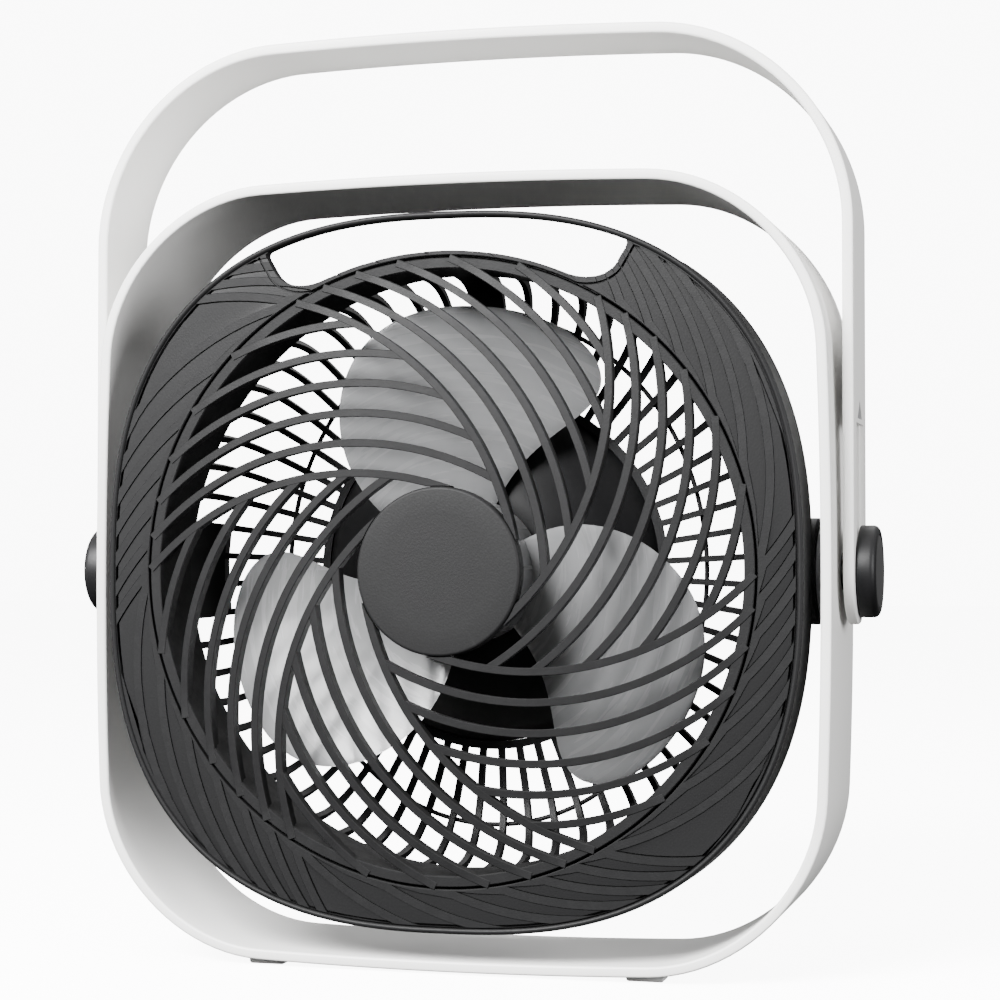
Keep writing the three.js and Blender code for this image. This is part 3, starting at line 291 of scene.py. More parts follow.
# %% Flow lines in glossy plastic
flow, flow_in, flow_out = new_group("flow lines", ["Scale", "Stretch"], ["Streak"])
flow_centre = node(flow, "VectorMath", {0: object_place(flow), 1: (0, 0, PIVOT_HEIGHT)},
                   operation="SUBTRACT")
flow_split = node(flow, "SeparateXYZ", {"Vector": flow_centre.outputs["Vector"]}).outputs
flow_flat = node(flow, "CombineXYZ", {"X": flow_split["X"], "Z": flow_split["Z"]})
flow_radius = node(flow, "VectorMath", {0: flow_flat.outputs["Vector"]}, operation="LENGTH")
flow_turn = maths(flow, "ARCTAN2", flow_split["Z"], flow_split["X"])
flow_place = node(flow, "CombineXYZ", {"X": times(flow, flow_radius.outputs["Value"], 6.0),
                                       "Y": times(flow, flow_turn, flow_in["Stretch"])})
flow_noise = noise(flow, flow_place.outputs["Vector"], flow_in["Scale"], 3.0, 0.5)
feed(flow, flow_out, {"Streak": ranged(flow, flow_noise, 0.3, 0.7)})

# %% Blades
blade_tree, blade_shader = moulded(
    "blade_plastic", (0.225, 0.227, 0.231), 0.04, 0.24, 300, 0.004, rubbed=0.1, dusty=0.05)
streak = effect(blade_tree, flow, {"Scale": 60.0, "Stretch": 0.03}, "Streak")
blade_base = blade_shader.inputs["Base Color"].links[0].from_socket
blade_colour = mixed(blade_tree, times(blade_tree, streak, 0.15), blade_base, (0.34, 0.343, 0.346))
feed(blade_tree, blade_shader, {"Base Color": blade_colour,
                                "Roughness": ranged(blade_tree, streak, 0, 1, 0.2, 0.32)})

# %% Metals


def metal(slot, tone, rough, lines, metallic=1.0):
    finishes[slot], tree, shader = simple_node_material(slot)
    waves = {"Vector": object_place(tree), "Scale": lines, "Distortion": 2.0, "Detail": 4.0}
    brushed = node(tree, "TexWave", waves).outputs["Fac"]
    worn = effect(tree, wear, {"Amount": 0.6}, "Mask")
    colour = mixed(tree, brushed, scaled(tone, 0.75), tone)
    raised = node(tree, "Bump", {"Height": brushed, "Strength": 0.4, "Distance": 0.02 * MM})
    feed(tree, shader, {"Base Color": mixed(tree, worn, colour, (0.9, 0.9, 0.9)),
                        "Roughness": ranged(tree, brushed, 0, 1, rough - 0.08, rough + 0.1),
                        "Metallic": metallic, "Normal": raised.outputs["Normal"]})


metal("steel", (0.56, 0.57, 0.58), 0.3, 900)
metal("copper", (0.72, 0.34, 0.16), 0.3, 700)
metal("magnet", (0.08, 0.08, 0.09), 0.45, 300, metallic=0.6)
print("finishes:", sorted(finishes))

# %% [markdown]
# ## Ways to make a solid
# Most pieces are one of three solids: loops joined one after another, a profile turned round an
# axis, or an outline with a thickness. Booleans join and cut them, and their result is kept as
# plain mesh, so nothing is left to go wrong later.

# %% Lofts, turned solids and plates


def polar(radius, degrees):
    angle = math.radians(degrees)
    return radius * math.cos(angle), radius * math.sin(angle)


def loft(name, loops, ring=False):
    count = len(loops[0])
    points = [point for loop in loops for point in loop]
    faces = []
    for k in range(len(loops) if ring else len(loops) - 1):
        a = k * count
        b = ((k + 1) % len(loops)) * count
        for i in range(count):
            j = (i + 1) % count
            faces.append((a + i, a + j, b + j, b + i))
    if not ring:
        faces.append(tuple(range(count)))
        faces.append(tuple(reversed(range(len(points) - count, len(points)))))
    return new_piece(name, points, faces)


def ring_of(radius, steps):
    return [polar(radius, 360 * i / steps) for i in range(steps)]


def turned(name, profile, steps, centre=(0, 0)):
    loops = [[(centre[0] + x, y, centre[1] + z) for x, z in ring_of(radius, steps)]
             for radius, y in profile]
    return loft(name, loops, ring=True)


def turned_across(name, profile, side, steps=64):
    loops = [[(side * x, y, z) for y, z in ring_of(radius, steps)] for radius, x in profile]
    return loft(name, loops, ring=True)


def pin_across(name, radius, inner, outer, side):
    return turned_across(name, [(0, inner), (radius, inner), (radius, outer), (0, outer)], side)


def plate(name, outline, front, back):
    return loft(name, [[(x, y, z) for x, z in outline] for y in (front, back)])


def across_plate(name, outline, side, inner, outer):
    return loft(name, [[(side * x, y, z) for y, z in outline] for x in (inner, outer)])


def ring_solid(name, inner, outer, front, back, steps):
    return turned(name, [(inner, front), (outer, front), (outer, back), (inner, back)], steps)


def column(name, x, z, radius, front, back, steps=32):
    return turned(name, [(0, front), (radius, front), (radius, back), (0, back)], steps, (x, z))


# %% Joining, cutting and settling


def settle(piece):
    scene_view = bpy.context.evaluated_depsgraph_get()
    mesh = bpy.data.meshes.new_from_object(piece.evaluated_get(scene_view))
    piece.modifiers.clear()
    piece.data = mesh


def combine(piece, others, operation):
    for other in others:
        step = piece.modifiers.new("step", "BOOLEAN")
        step.object = other
        step.operation = operation
        step.solver = "MANIFOLD"
    settle(piece)
    for other in others:
        bpy.data.objects.remove(other)
    return piece


def join(piece, *others):
    return combine(piece, others, "UNION")


def cut(piece, *others):
    return combine(piece, others, "DIFFERENCE")


# %% Dressing a piece


def dress(piece, body, slot, *nodes, sharp=32):
    mesh = piece.data
    mesh.materials.clear()
    mesh.materials.append(finishes[slot])
    mesh.shade_smooth()
    mesh.set_sharp_from_angle(angle=math.radians(sharp))
    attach(piece, body)
    if nodes:
        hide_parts(*nodes)
    size = [round(side * 1000, 1) for side in piece.dimensions]
    print(piece.name, "on", body, "faces", len(mesh.polygons), "mm", size)


def dress_nodes(slot, *names):
    for name in names:
        for place in frame["nodes"][name].material_slots:
            place.material = finishes[slot]


# %% [markdown]
# ## The hoop stand
# The hoop is a wide band bent into a rounded rectangle whose sides swell out. It could be a box
# with bevels, but then the swelling would have to be bent in afterwards. Here one outline is
# written as a function of how far inside the band it runs, and the band's rounded section is
# carried round it.

# %% Outline of the hoop
HOOP_HALF_X, HOOP_HALF_Z, HOOP_BOW, HOOP_CORNER = 130, 136, 4.6, 59
HOOP_WALL, HOOP_DEPTH, EDGE_ROUND = 3.7, 63.7, 0.9
HOOP_ARC_STEPS, HOOP_SIDE_STEPS, BUSH_RADIUS = 22, 26, 6.8
QUARTERS = ((1, 1, 0), (-1, 1, 90), (-1, -1, 180), (1, -1, 270))


def arc(across, up, radius, start, end, steps):
    turn = [polar(radius, start + (end - start) * i / steps) for i in range(steps + 1)]
    return [(across + dx, up + dz) for dx, dz in turn]


def between(start, end, steps):
    return [tuple(a + (b - a) * i / steps for a, b in zip(start, end)) for i in range(1, steps)]


def swollen(x, z):
    return (x * (1 + HOOP_BOW / HOOP_HALF_X * (1 - (z / HOOP_HALF_Z) ** 2)),
            z * (1 + HOOP_BOW / HOOP_HALF_Z * (1 - (x / HOOP_HALF_X) ** 2)))


def hoop_outline(inset):
    x, z, radius = HOOP_HALF_X - HOOP_CORNER, HOOP_HALF_Z - HOOP_CORNER, HOOP_CORNER - inset
    corners = [arc(sign_x * x, sign_z * z, radius, start, start + 90, HOOP_ARC_STEPS)
               for sign_x, sign_z, start in QUARTERS]
    points = []
    for i, corner in enumerate(corners):
        points += corner + between(corner[-1], corners[(i + 1) % 4][0], HOOP_SIDE_STEPS)
    return [swollen(*point) for point in points]


# %% Hoop stand
near, far, edge_y = EDGE_ROUND, HOOP_WALL - EDGE_ROUND, HOOP_DEPTH / 2 - EDGE_ROUND
section = []
corners = [(near, -edge_y, 180), (far, -edge_y, 270), (far, edge_y, 0), (near, edge_y, 90)]
for inset, y, start in corners:
    section += arc(inset, y, EDGE_ROUND, start, start + 90, 4)
hoop_loops = [[(x, y, z) for x, z in hoop_outline(inset)] for inset, y in section]
hoop = loft("hoop_stand_band", hoop_loops, ring=True)
for side in (-1, 1):
    cut(hoop, pin_across("drill", BUSH_RADIUS, 128, 137, side))
dress(hoop, "stand", "white_plastic", "hoop_stand")

# %% Feet
FOOT_X, FOOT_Y, FOOT_HALF_X, FOOT_HALF_Y, FOOT_TAPER = 69.3, 23, 6.9, 4.5, 0.5
HOOP_LIFT, FOOT_GAP, FOOT_ROUND, ROOF_STEPS = 5.4, 0.3, 1.1, 8
FLOOR_Z = -PIVOT_HEIGHT / MM
SIDES = (("left", -1), ("right", 1))


def foot_roof(x):
    return FLOOR_Z + HOOP_LIFT - HOOP_BOW * (1 - (x / HOOP_HALF_X) ** 2) - FOOT_GAP


def foot_piece(name, side_x, side_y):
    centre_x, centre_y = side_x * FOOT_X, side_y * FOOT_Y
    left, right = centre_x - FOOT_HALF_X, centre_x + FOOT_HALF_X
    outline = [(left + FOOT_TAPER, FLOOR_Z), (right - FOOT_TAPER, FLOOR_Z)]
    for i in range(ROOF_STEPS + 1):
        x = right + (left - right) * i / ROOF_STEPS
        outline.append((x, foot_roof(x)))
    piece = plate(name, outline, centre_y - FOOT_HALF_Y, centre_y + FOOT_HALF_Y)
    step = piece.modifiers.new("rounded", "BEVEL")
    step.width, step.segments = FOOT_ROUND * MM, 4
    step.limit_method, step.angle_limit = "ANGLE", math.radians(40)
    settle(piece)
    return piece


for word, side_y in (("front", -1), ("rear", 1)):
    for hand, side_x in SIDES:
        pad = foot_piece(f"foot_pad_{word}_{hand}", side_x, side_y)
        dress(pad, "stand", "foot_rubber", f"foot_{word}_{hand}")

# %% [markdown]
# ## The carry handle
# The handle is a narrower band that runs outside the hoop and ends in half-round arms at the
# pivots. Its edges are rounded all the way round each arm's end, so the section changes as it
# goes down: every point is drawn in by how near it lies to the band's edge.

# %% Path of the handle
ARM_OUTER, HANDLE_RISE, HANDLE_BOW, HANDLE_CORNER = 140.6, 189, 5.54, 69
HANDLE_WALL, ARM_HALF = 3.9, 18.5
END_STEPS, ARM_STEPS, BEND_STEPS, TOP_STEPS = 16, 20, 32, 30


def handle_path():
    x, z = ARM_OUTER - HANDLE_CORNER, HANDLE_RISE - HANDLE_CORNER
    low = [-ARM_HALF * math.cos(math.pi / 2 * i / END_STEPS) for i in range(END_STEPS + 1)]
    low += [z * i / ARM_STEPS for i in range(1, ARM_STEPS)]
    arm = [(ARM_OUTER, height, -1, 0) for height in low]
    for out_x, out_z in arc(0, 0, 1, 0, 90, BEND_STEPS):
        arm.append((x + HANDLE_CORNER * out_x, z + HANDLE_CORNER * out_z, -out_x, -out_z))
    top = [(x - 2 * x * i / TOP_STEPS, HANDLE_RISE, 0, -1) for i in range(1, TOP_STEPS)]
    return arm + top + [(-px, pz, -nx, nz) for px, pz, nx, nz in reversed(arm)]


def handle_point(place, inset, y):
    px, pz, nx, nz = place
    x, z = px + nx * inset, pz + nz * inset
    return x, y, z + HANDLE_BOW * (1 - (x / ARM_OUTER) ** 2) * (z / HANDLE_RISE)


def drawn_in(near, edge):
    return 0 if near >= edge else edge - math.sqrt(max(0, edge ** 2 - (edge - near) ** 2))


def handle_section(place):
    height = min(0, place[1])
    half = math.sqrt(max(0.01, ARM_HALF ** 2 - height ** 2))
    shares = [-1, -0.998, -0.985, -0.97, -0.95, -0.6, 0, 0.6, 0.95, 0.97, 0.985, 0.998, 1]
    front = []
    for y in (half * share for share in shares):
        front.append((drawn_in(ARM_HALF - math.hypot(y, height), EDGE_ROUND), y))
    section = [handle_point(place, inset, y) for inset, y in front]
    return section + [handle_point(place, HANDLE_WALL - inset, y) for inset, y in reversed(front)]


# %% Carry handle
RECESS_DEPTH, MARK_DEPTH, MARK_FILL, MARK_GAP, OUTSIDE_X = 1.1, 0.5, 0.32, 0.25, 143
MARK_HALF, MARK_LOW, MARK_TIP = 6.67, 53.2, 59.7


def across_block(name, side, half_y, low, high, inner, outer, corner):
    outline = []
    for sign_y, sign_z, start in QUARTERS:
        centre_z = (high - corner) if sign_z > 0 else (low + corner)
        outline += arc(sign_y * (half_y - corner), centre_z, corner, start, start + 90, 5)
    return across_plate(name, outline, side, inner, outer)


def mark_block(name, side, outer, shrink=0.0):
    low = MARK_LOW + shrink / 2
    outline = [(-MARK_HALF + shrink, low), (MARK_HALF - shrink, low), (0, MARK_TIP - shrink)]
    return across_plate(name, outline, side, ARM_OUTER - MARK_DEPTH, outer)


handle = loft("carry_handle_band", [handle_section(place) for place in handle_path()])
for side in (-1, 1):
    recess = across_block("recess", side, 10, -6.1, 51.6, ARM_OUTER - RECESS_DEPTH, OUTSIDE_X, 0.6)
    slot_room = across_block("slot_room", side, 6.3, -5.8, 51.3, 134, OUTSIDE_X, 0.4)
    cut(handle, recess, slot_room, mark_block("mark", side, OUTSIDE_X))
dress(handle, "handle", "white_plastic", "carry_handle")

# %% Arrowheads, filled in grey
for word, side in SIDES:
    arrow = mark_block(f"handle_arrow_{word}", side, ARM_OUTER - MARK_FILL, MARK_GAP)
    dress(arrow, "handle", "washer_plastic")

# %% [markdown]
# ## Pivots: bush, washer, guide, bolt and knob
# What shows of the pivots is the knob: a black cup with a soft edge and a paler disc set in its
# face. The turned parts are profiles with small rounds, because sharp edges never catch light.

# %% Knobs and their faces
KNOB_INNER, KNOB_OUTER, KNOB_RADIUS, KNOB_ROUND = 140.9, 147.5, 16.1, 2.2
BOLT_RADIUS = 4.5
for word, side in SIDES:
    profile = [(BOLT_RADIUS, KNOB_INNER)]
    profile += arc(KNOB_RADIUS - 0.6, KNOB_INNER + 0.6, 0.6, -90, 0, 4)
    profile += arc(KNOB_RADIUS - KNOB_ROUND, KNOB_OUTER - KNOB_ROUND, KNOB_ROUND, 0, 90, 8)
    profile += arc(13.15, KNOB_OUTER - 0.25, 0.25, 90, 180, 3)
    profile += [(12.9, 146), (0, 146), (0, 144.3), (BOLT_RADIUS, 144.3)]
    knob = turned_across(f"knob_cup_{word}", profile, side, 96)
    dress(knob, f"clamp_knob_{word}", "black_plastic", f"knob_{word}")
    face_profile = [(0, 146.3), (12.6, 146.3), *arc(12.3, 147.1, 0.3, 0, 90, 4), (0, 147.4)]
    face = turned_across(f"knob_disc_{word}", face_profile, side, 96)
    dress(face, f"clamp_knob_{word}", "knob_face", f"knob_face_{word}")

# %% Washers, guides and the small steel
for word, side in SIDES:
    washer_profile = [(BOLT_RADIUS, 127.2), (16, 127.2), *arc(15.7, 130.3, 0.3, 0, 90, 3),
                      (BOLT_RADIUS, 130.6)]
    washer = turned_across(f"pivot_washer_{word}", washer_profile, side)
    dress(washer, "head", "washer_plastic", f"friction_washer_{word}")
    guide = across_block(f"guide_slider_{word}", side, 6, -5.5, 5.5, 134.9, 140.6, 0.8)
    cut(guide, pin_across("bore", BOLT_RADIUS, 132, OUTSIDE_X, side))
    dress(guide, "stand", "black_plastic", f"guide_block_{word}")
dress_nodes("black_plastic", "pivot_bush_left", "pivot_bush_right", "motor_end_plate")
dress_nodes("steel", "pivot_bolt_left", "pivot_bolt_right", "blade_nut", "motor_shaft",
            "bearing_front", "bearing_rear", *[f"housing_screw_{i}" for i in (1, 2, 3, 4)],
            *[f"cover_screw_{i}" for i in (1, 2, 3)])
dress_nodes("copper", "motor_stator")
dress_nodes("magnet", "rotor_magnet")
dress_nodes("board", "control_board")

# %% [markdown]
# ## The head's outline and the front bezel
# The head is a circle squared by an exponent, so its sides bulge softly into round corners.
# The bezel is one ring of loops: wall, bead, face and the step down to the grille. The swirl of
# ribs runs on over it as raised bands. A shallow panel is sunk between each two of them, with a
# thin crack down both its sides and a groove along its outer end.

# %% Outline of the head
HEAD_HALF, SQUARENESS, FACE, SEAM, ROUND_STEPS = 126.1, 2.55, -39.1, -19.5, 720
FACE_BACK = FACE + 2.6


def head_radius(degrees, half=HEAD_HALF, power=SQUARENESS):
    across, up = polar(1, degrees)
    return half / (abs(across) ** power + abs(up) ** power) ** (1 / power)


def head_loop(inset, y, steps=ROUND_STEPS, half=HEAD_HALF, power=SQUARENESS):
    loop = []
    for i in range(steps):
        degrees = 360 * i / steps
        x, z = polar(head_radius(degrees, half, power) - inset, degrees)
        loop.append((x, y, z))
    return loop


def hole_loop(radius, y):
    return [(x, y, z) for x, z in ring_of(radius, ROUND_STEPS)]


# %% Ring of the bezel
BEAD, HOLE, WALL_INSET = 1.1, 110.6, 2.5
bezel_loops = [head_loop(0, SEAM), head_loop(0, FACE + 2)]
for inset, rise in arc(BEAD, 0, BEAD, 180, 36, 8):
    bezel_loops.append(head_loop(inset, FACE + BEAD - rise))
for inset, sunk in ((2.2, 0.8), (2.55, 0.8), (2.6, 0.1), (2.75, 0)):
    bezel_loops.append(head_loop(inset, FACE + sunk))
for out, y in ((0.3, FACE), (0, FACE + 0.3), (0, FACE_BACK)):
    bezel_loops.append(hole_loop(HOLE + out, y))
bezel_loops += [head_loop(WALL_INSET, FACE_BACK), head_loop(WALL_INSET, SEAM)]
bezel = loft("bezel_shell", bezel_loops, ring=True)
print("bezel ring", len(bezel.data.vertices), "points")

# %% Arcs of the swirl
RIB_ARC, RIB_WIDTH, RIM_RADIUS = 108.0, 2.8, 110.0
RIB_CENTRE, RIB_STEP = (-31.2, -73.6), 10.6
SECTORS, RIBS, BANDS, SECTOR_TURN = 6, 6, 7, 60


def turned_point(x, z, degrees):
    across, up = polar(1, degrees)
    return x * across - z * up, x * up + z * across


def rib_centre(sector, rib):
    return turned_point(RIB_CENTRE[0], RIB_CENTRE[1] + RIB_STEP * rib, -SECTOR_TURN * sector)


def arc_angle(centre, reach, radius):
    away = math.hypot(*centre)
    cosine = (radius ** 2 - away ** 2 - reach ** 2) / (2 * away * reach)
    return math.atan2(centre[1], centre[0]) - math.acos(max(-1, min(1, cosine)))


def arc_direction(centre, reach, radius):
    angle = arc_angle(centre, reach, radius)
    x, z = centre[0] + reach * math.cos(angle), centre[1] + reach * math.sin(angle)
    return math.degrees(math.atan2(z, x))


# %% Panels between the bands
PANEL_DEPTH, FAINT_DEPTH, GROOVE_DEPTH, GROOVE_WIDTH, BEAD_ROOM = 0.5, 0.3, 2.3, 0.9, 2.65
CRACK_WIDTH, CRACK_DEPTH, MIDDLE_RADIUS, INNER_RADIUS = 0.62, 1.5, 118, HOLE + 0.5
LEAST_SPAN, INNER_LEAN, COLUMNS, ROWS, SPOT_ROUNDS = 0.12, 2.5, 6, 12, 6
CRACK_MOST, CRACK_SLOPE, CRACK_FAINT = 0.4, 0.002, 0.6


def band_edges(index, radius):
    centre = rib_centre(index // BANDS, index % BANDS)
    edges = [arc_direction(centre, RIB_ARC + sign * RIB_WIDTH / 2, radius) for sign in (-1, 1)]
    if abs(edges[0] - edges[1]) > 180:
        edges = [edge % 360 for edge in edges]
    return min(edges), max(edges)


def panel_span(index, radius):
    deep = band_edges(index, radius)[1]
    flush = band_edges((index - 1) % (SECTORS * BANDS), radius)[0]
    return deep, (flush - deep + 180) % 360 - 180


def panel_tip(index):
    radius = INNER_RADIUS
    while panel_span(index, radius)[1] < LEAST_SPAN:
        radius += 0.1
    return radius


def panel_spot(index, share, row):
    radius = MIDDLE_RADIUS
    for _ in range(SPOT_ROUNDS):
        deep, span = panel_span(index, radius)
        degrees = deep + span * share
        radius = row(degrees, share)
    return polar(radius, degrees)


def panel_row(index, row, depth_at):
    radius = row(panel_span(index, MIDDLE_RADIUS)[0], 0)
    width = math.radians(panel_span(index, radius)[1]) * radius
    crack = min(CRACK_MOST, CRACK_WIDTH / width)
    lo, hi = crack + CRACK_SLOPE, 1 - CRACK_SLOPE - crack / 2
    inner = [lo + (hi - lo) * i / COLUMNS for i in range(COLUMNS + 1)]
    shares = [0, crack, *inner, 1 - crack / 2, 1]
    cracks = [CRACK_DEPTH] * 2 + [0] * len(inner) + [CRACK_DEPTH * CRACK_FAINT] * 2
    spots = [panel_spot(index, share, row) for share in shares]
    depths = [max(depth_at(share), sunk) for share, sunk in zip(shares, cracks)]
    floor_line = [(x, FACE + depth, z) for (x, z), depth in zip(spots, depths)]
    return floor_line + [(x, FACE - 3, z) for x, z in reversed(spots)]


def panel_cutter(index):
    tip = panel_tip(index)

    def slope(share):
        return FAINT_DEPTH + (PANEL_DEPTH - FAINT_DEPTH) * (1 - share)

    def groove(share):
        return max(slope(share), GROOVE_DEPTH)

    def row_at(part, extra=0.0):
        def radius(degrees, share):
            inner = max(tip, INNER_RADIUS + INNER_LEAN * share)
            outer = head_radius(degrees) - BEAD_ROOM - GROOVE_WIDTH
            return inner + (outer - inner) * part + extra
        return radius

    rows = [panel_row(index, row_at(i / ROWS), slope) for i in range(ROWS + 1)]
    for extra in (0.03, GROOVE_WIDTH / 2, GROOVE_WIDTH):
        rows.append(panel_row(index, row_at(1, extra), groove))
    return loft("panel_cutter", rows)


panel_cutters = [panel_cutter(index) for index in range(SECTORS * BANDS)]
cut(bezel, *panel_cutters)
print("panels sunk:", len(panel_cutters), "points now", len(bezel.data.vertices))

# %% [markdown]
# ## The grip in the head's top
# A hand lifts the head's top edge through this opening. Its sides follow rays from the axis, its
# lower corners are wide and round, and a thin bar closes it above. Behind the bar the pocket is
# wider than the opening, so no side wall shows. A fine bead and a groove edge it.

# %% Outlines of the grip
GRIP_HALF, GRIP_FLOOR, GRIP_BAR = 30.4, 112.2, 2.1
SILL_HALF, CORNER_REACH, CORNER_RISE = 23.2, 7.2, 11
POCKET_HALF, POCKET_LEAN, POCKET_ROUND, POCKET_GROW, TOP_OPEN = 30.5, 12, 5, 9, 5
FLOOR_LIFT, FLOOR_EASE, EDGE_STEPS = 1.75, 0.15, 40
LINER, LIP_FRONT, SHELL_BACK = 1.8, -12.0, -1.5


def head_edge(reach, inset):
    turns = [90 + reach - 2 * reach * i / EDGE_STEPS for i in range(EDGE_STEPS + 1)]
    return [polar(head_radius(degrees) - inset, degrees) for degrees in turns]


def grip_opening_side():
    side = []
    for i in range(13):
        turn = math.pi / 2 * i / 12
        side.append((SILL_HALF + CORNER_REACH * math.sin(turn),
                     GRIP_FLOOR + CORNER_RISE * (1 - math.cos(turn))))
    top = head_radius(90 - GRIP_HALF) - GRIP_BAR
    return side + [(GRIP_HALF, top - 2), (GRIP_HALF - 0.1, top - 1), (GRIP_HALF - 0.5, top - 0.3)]


def grip_opening_outline():
    side = grip_opening_side()
    right = [polar(radius, 90 - degrees) for degrees, radius in side]
    left = [polar(radius, 90 + degrees) for degrees, radius in reversed(side)]
    sill = arc(0, 0, GRIP_FLOOR, 90 + SILL_HALF, 90 - SILL_HALF, 24)
    return right + head_edge(0.9 - GRIP_HALF, GRIP_BAR) + left + sill[1:-1]


def pocket_outline(grow, floor_radius, top_inset):
    lean = math.degrees(POCKET_LEAN / HEAD_HALF)
    extra = math.degrees(grow / HEAD_HALF)
    soft = math.degrees(POCKET_ROUND / floor_radius)
    low, high = POCKET_HALF - lean / 2 + extra, POCKET_HALF + lean / 2 + extra
    floor = arc(0, 0, floor_radius, 90 - low + soft, 90 + low - soft, EDGE_STEPS)
    left, right = [polar(floor_radius + FLOOR_LIFT, 90 + sign * (low - FLOOR_EASE * soft))
                   for sign in (1, -1)]
    return [*floor, left, *head_edge(high, top_inset), right]


def liner_outline(floor_radius, gap=0.0):
    return pocket_outline(POCKET_GROW + LINER + gap, floor_radius - gap, -LINER - TOP_OPEN)


# %% Pocket and opening
wedge = plate("wedge", liner_outline(RIM_RADIUS + 2 - LINER), FACE + 1.3, LIP_FRONT - 0.6)
limit = loft("limit", [head_loop(0.02, y, 240) for y in (FACE, SHELL_BACK)])
combine(wedge, [limit], "INTERSECT")
join(bezel, wedge)
opening = plate("opening", grip_opening_outline(), FACE - 5, SHELL_BACK + 5)
pocket_shape = pocket_outline(POCKET_GROW, RIM_RADIUS + 2, -LINER - TOP_OPEN)
cut(bezel, opening, plate("pocket", pocket_shape, FACE + 5, SHELL_BACK + 5))

# %% Grooves beside the opening
GROOVE_NEAR, GROOVE_FAR = 2, 2.9


def groove_line(side, away):
    line = []
    for degrees, radius in grip_opening_side()[2:13]:
        x, z = polar(radius, 90 - side * degrees)
        turn = math.asin(min(1, (degrees - SILL_HALF) / CORNER_REACH))
        out_x, out_z = turned_point(math.sin(turn) * side, -math.cos(turn), -side * degrees)
        line.append((x + away * out_x, z + away * out_z))
    top = head_radius(90 - GRIP_HALF) - 2.4
    return [*line, polar(top, 90 - side * (GRIP_HALF + math.degrees(away / top)))]


def side_groove(side):
    outline = groove_line(side, GROOVE_NEAR) + groove_line(side, GROOVE_FAR)[::-1]
    return plate("side_groove", outline, FACE - 2, FACE + 1.2)


cut(bezel, side_groove(1), side_groove(-1))
dress(bezel, "head", "dark_plastic", "front_bezel", sharp=24)

# %% [markdown]
# ## The front grille
# Thirty curved ribs and six longer spines sweep from the hub to the rim. All are arcs of the same
# radius, set off step by step, and each sector is the last one turned by sixty degrees. Every
# rib is a bar with narrow chamfers, carried along its arc, and the whole grille swells forward to
# the hub.

# %% Rib bars
HUB_RADIUS, OPENING, CROWN = 29.5, 106.0, 4.8
RIB_FRONT, RIB_BACK, RIB_CHAMFER, RIB_DRAFT = FACE - 0.25, FACE + 5.5, 0.22, 0.35


def crown(radius):
    share = max(0, min(1, (radius - HUB_RADIUS) / (OPENING - HUB_RADIUS)))
    return CROWN * (1 - share ** 2)


def rib_section():
    half = RIB_WIDTH / 2
    section = [(-half + RIB_DRAFT, RIB_BACK), (-half, RIB_FRONT + RIB_CHAMFER),
               (-half + RIB_CHAMFER, RIB_FRONT)]
    return section + [(-across, y) for across, y in reversed(section)]


def rib_bar(centre, start, end, proud):
    count = max(4, round(abs(start - end) / math.radians(2.2)))
    loops = []
    for i in range(count + 1):
        angle = start + (end - start) * i / count
        loop = []
        for across, y in rib_section():
            x = centre[0] + (RIB_ARC + across) * math.cos(angle)
            z = centre[1] + (RIB_ARC + across) * math.sin(angle)
            loop.append((x, y - proud - crown(math.hypot(x, z)), z))
        loops.append(loop)
    return loft("rib_bar", loops)


def crossing_angle(centre, other):
    middle = [(a + b) / 2 for a, b in zip(centre, other)]
    apart = math.dist(centre, other)
    reach = math.sqrt(RIB_ARC ** 2 - apart ** 2 / 4)
    along = [(b - a) / apart for a, b in zip(centre, other)]
    spots = [(middle[0] - sign * along[1] * reach, middle[1] + sign * along[0] * reach)
             for sign in (1, -1)]
    spot = min(spots, key=lambda place: math.hypot(*place))
    return math.atan2(spot[1] - centre[1], spot[0] - centre[0])


# %% Grille
HUB_FRONT, SPINE_PROUD, SPINE_PAST = -41.9, 0.12, math.radians(4)
rim_profile = [(OPENING + 0.3, FACE), (109.4, FACE), (109.7, FACE + 0.3), (109.7, FACE_BACK),
               (OPENING, FACE_BACK), (OPENING, FACE + 0.3)]
grille = turned("grille_swirl", rim_profile, 360)
bars = [column("hub_plate", 0, 0, HUB_RADIUS, HUB_FRONT, HUB_FRONT + 2.2, 120)]
for sector in range(SECTORS):
    next_spine = rib_centre(sector + 1, 0)
    for rib in range(RIBS):
        centre = rib_centre(sector, rib)
        start = arc_angle(centre, RIB_ARC, RIM_RADIUS - 0.4)
        if rib == 0:
            end, proud = math.atan2(-centre[1], -centre[0]) + SPINE_PAST, SPINE_PROUD
        else:
            end, proud = crossing_angle(centre, next_spine), 0
        end = start - (start - end) % math.tau
        bars.append(rib_bar(centre, start, end, proud))
join(grille, *bars)
cut(grille, column("cap_room", 0, 0, 29.8, -60, HUB_FRONT, 120),
    ring_solid("duct_room", 105.6, 115, FACE_BACK, 0, 360))
dress(grille, "head", "dark_plastic", "front_grille", sharp=25)

# %% Hub cap
cap_profile = [(0, -45.2), (20, -45.17), (28.4, -45.1), *arc(28.4, -44.0, 1.1, -75, 0, 5),
               (HUB_RADIUS, -42.2), (0, -42.2)]
dress(turned("hub_disc", cap_profile, 180), "head", "cap_plastic", "hub_cap")

# %% [markdown]
# ## The rear shell and its duct
# Behind the seam the head closes in quickly from its squared outline to a round collar. The duct
# stands inside as a short tube round the wheel, and a boss on each side takes the pivot bolt.
# A smooth curve is put through a few measured sections, so the flank has no flat bands.

# %% Smooth sections
SMOOTH_STEPS = 5


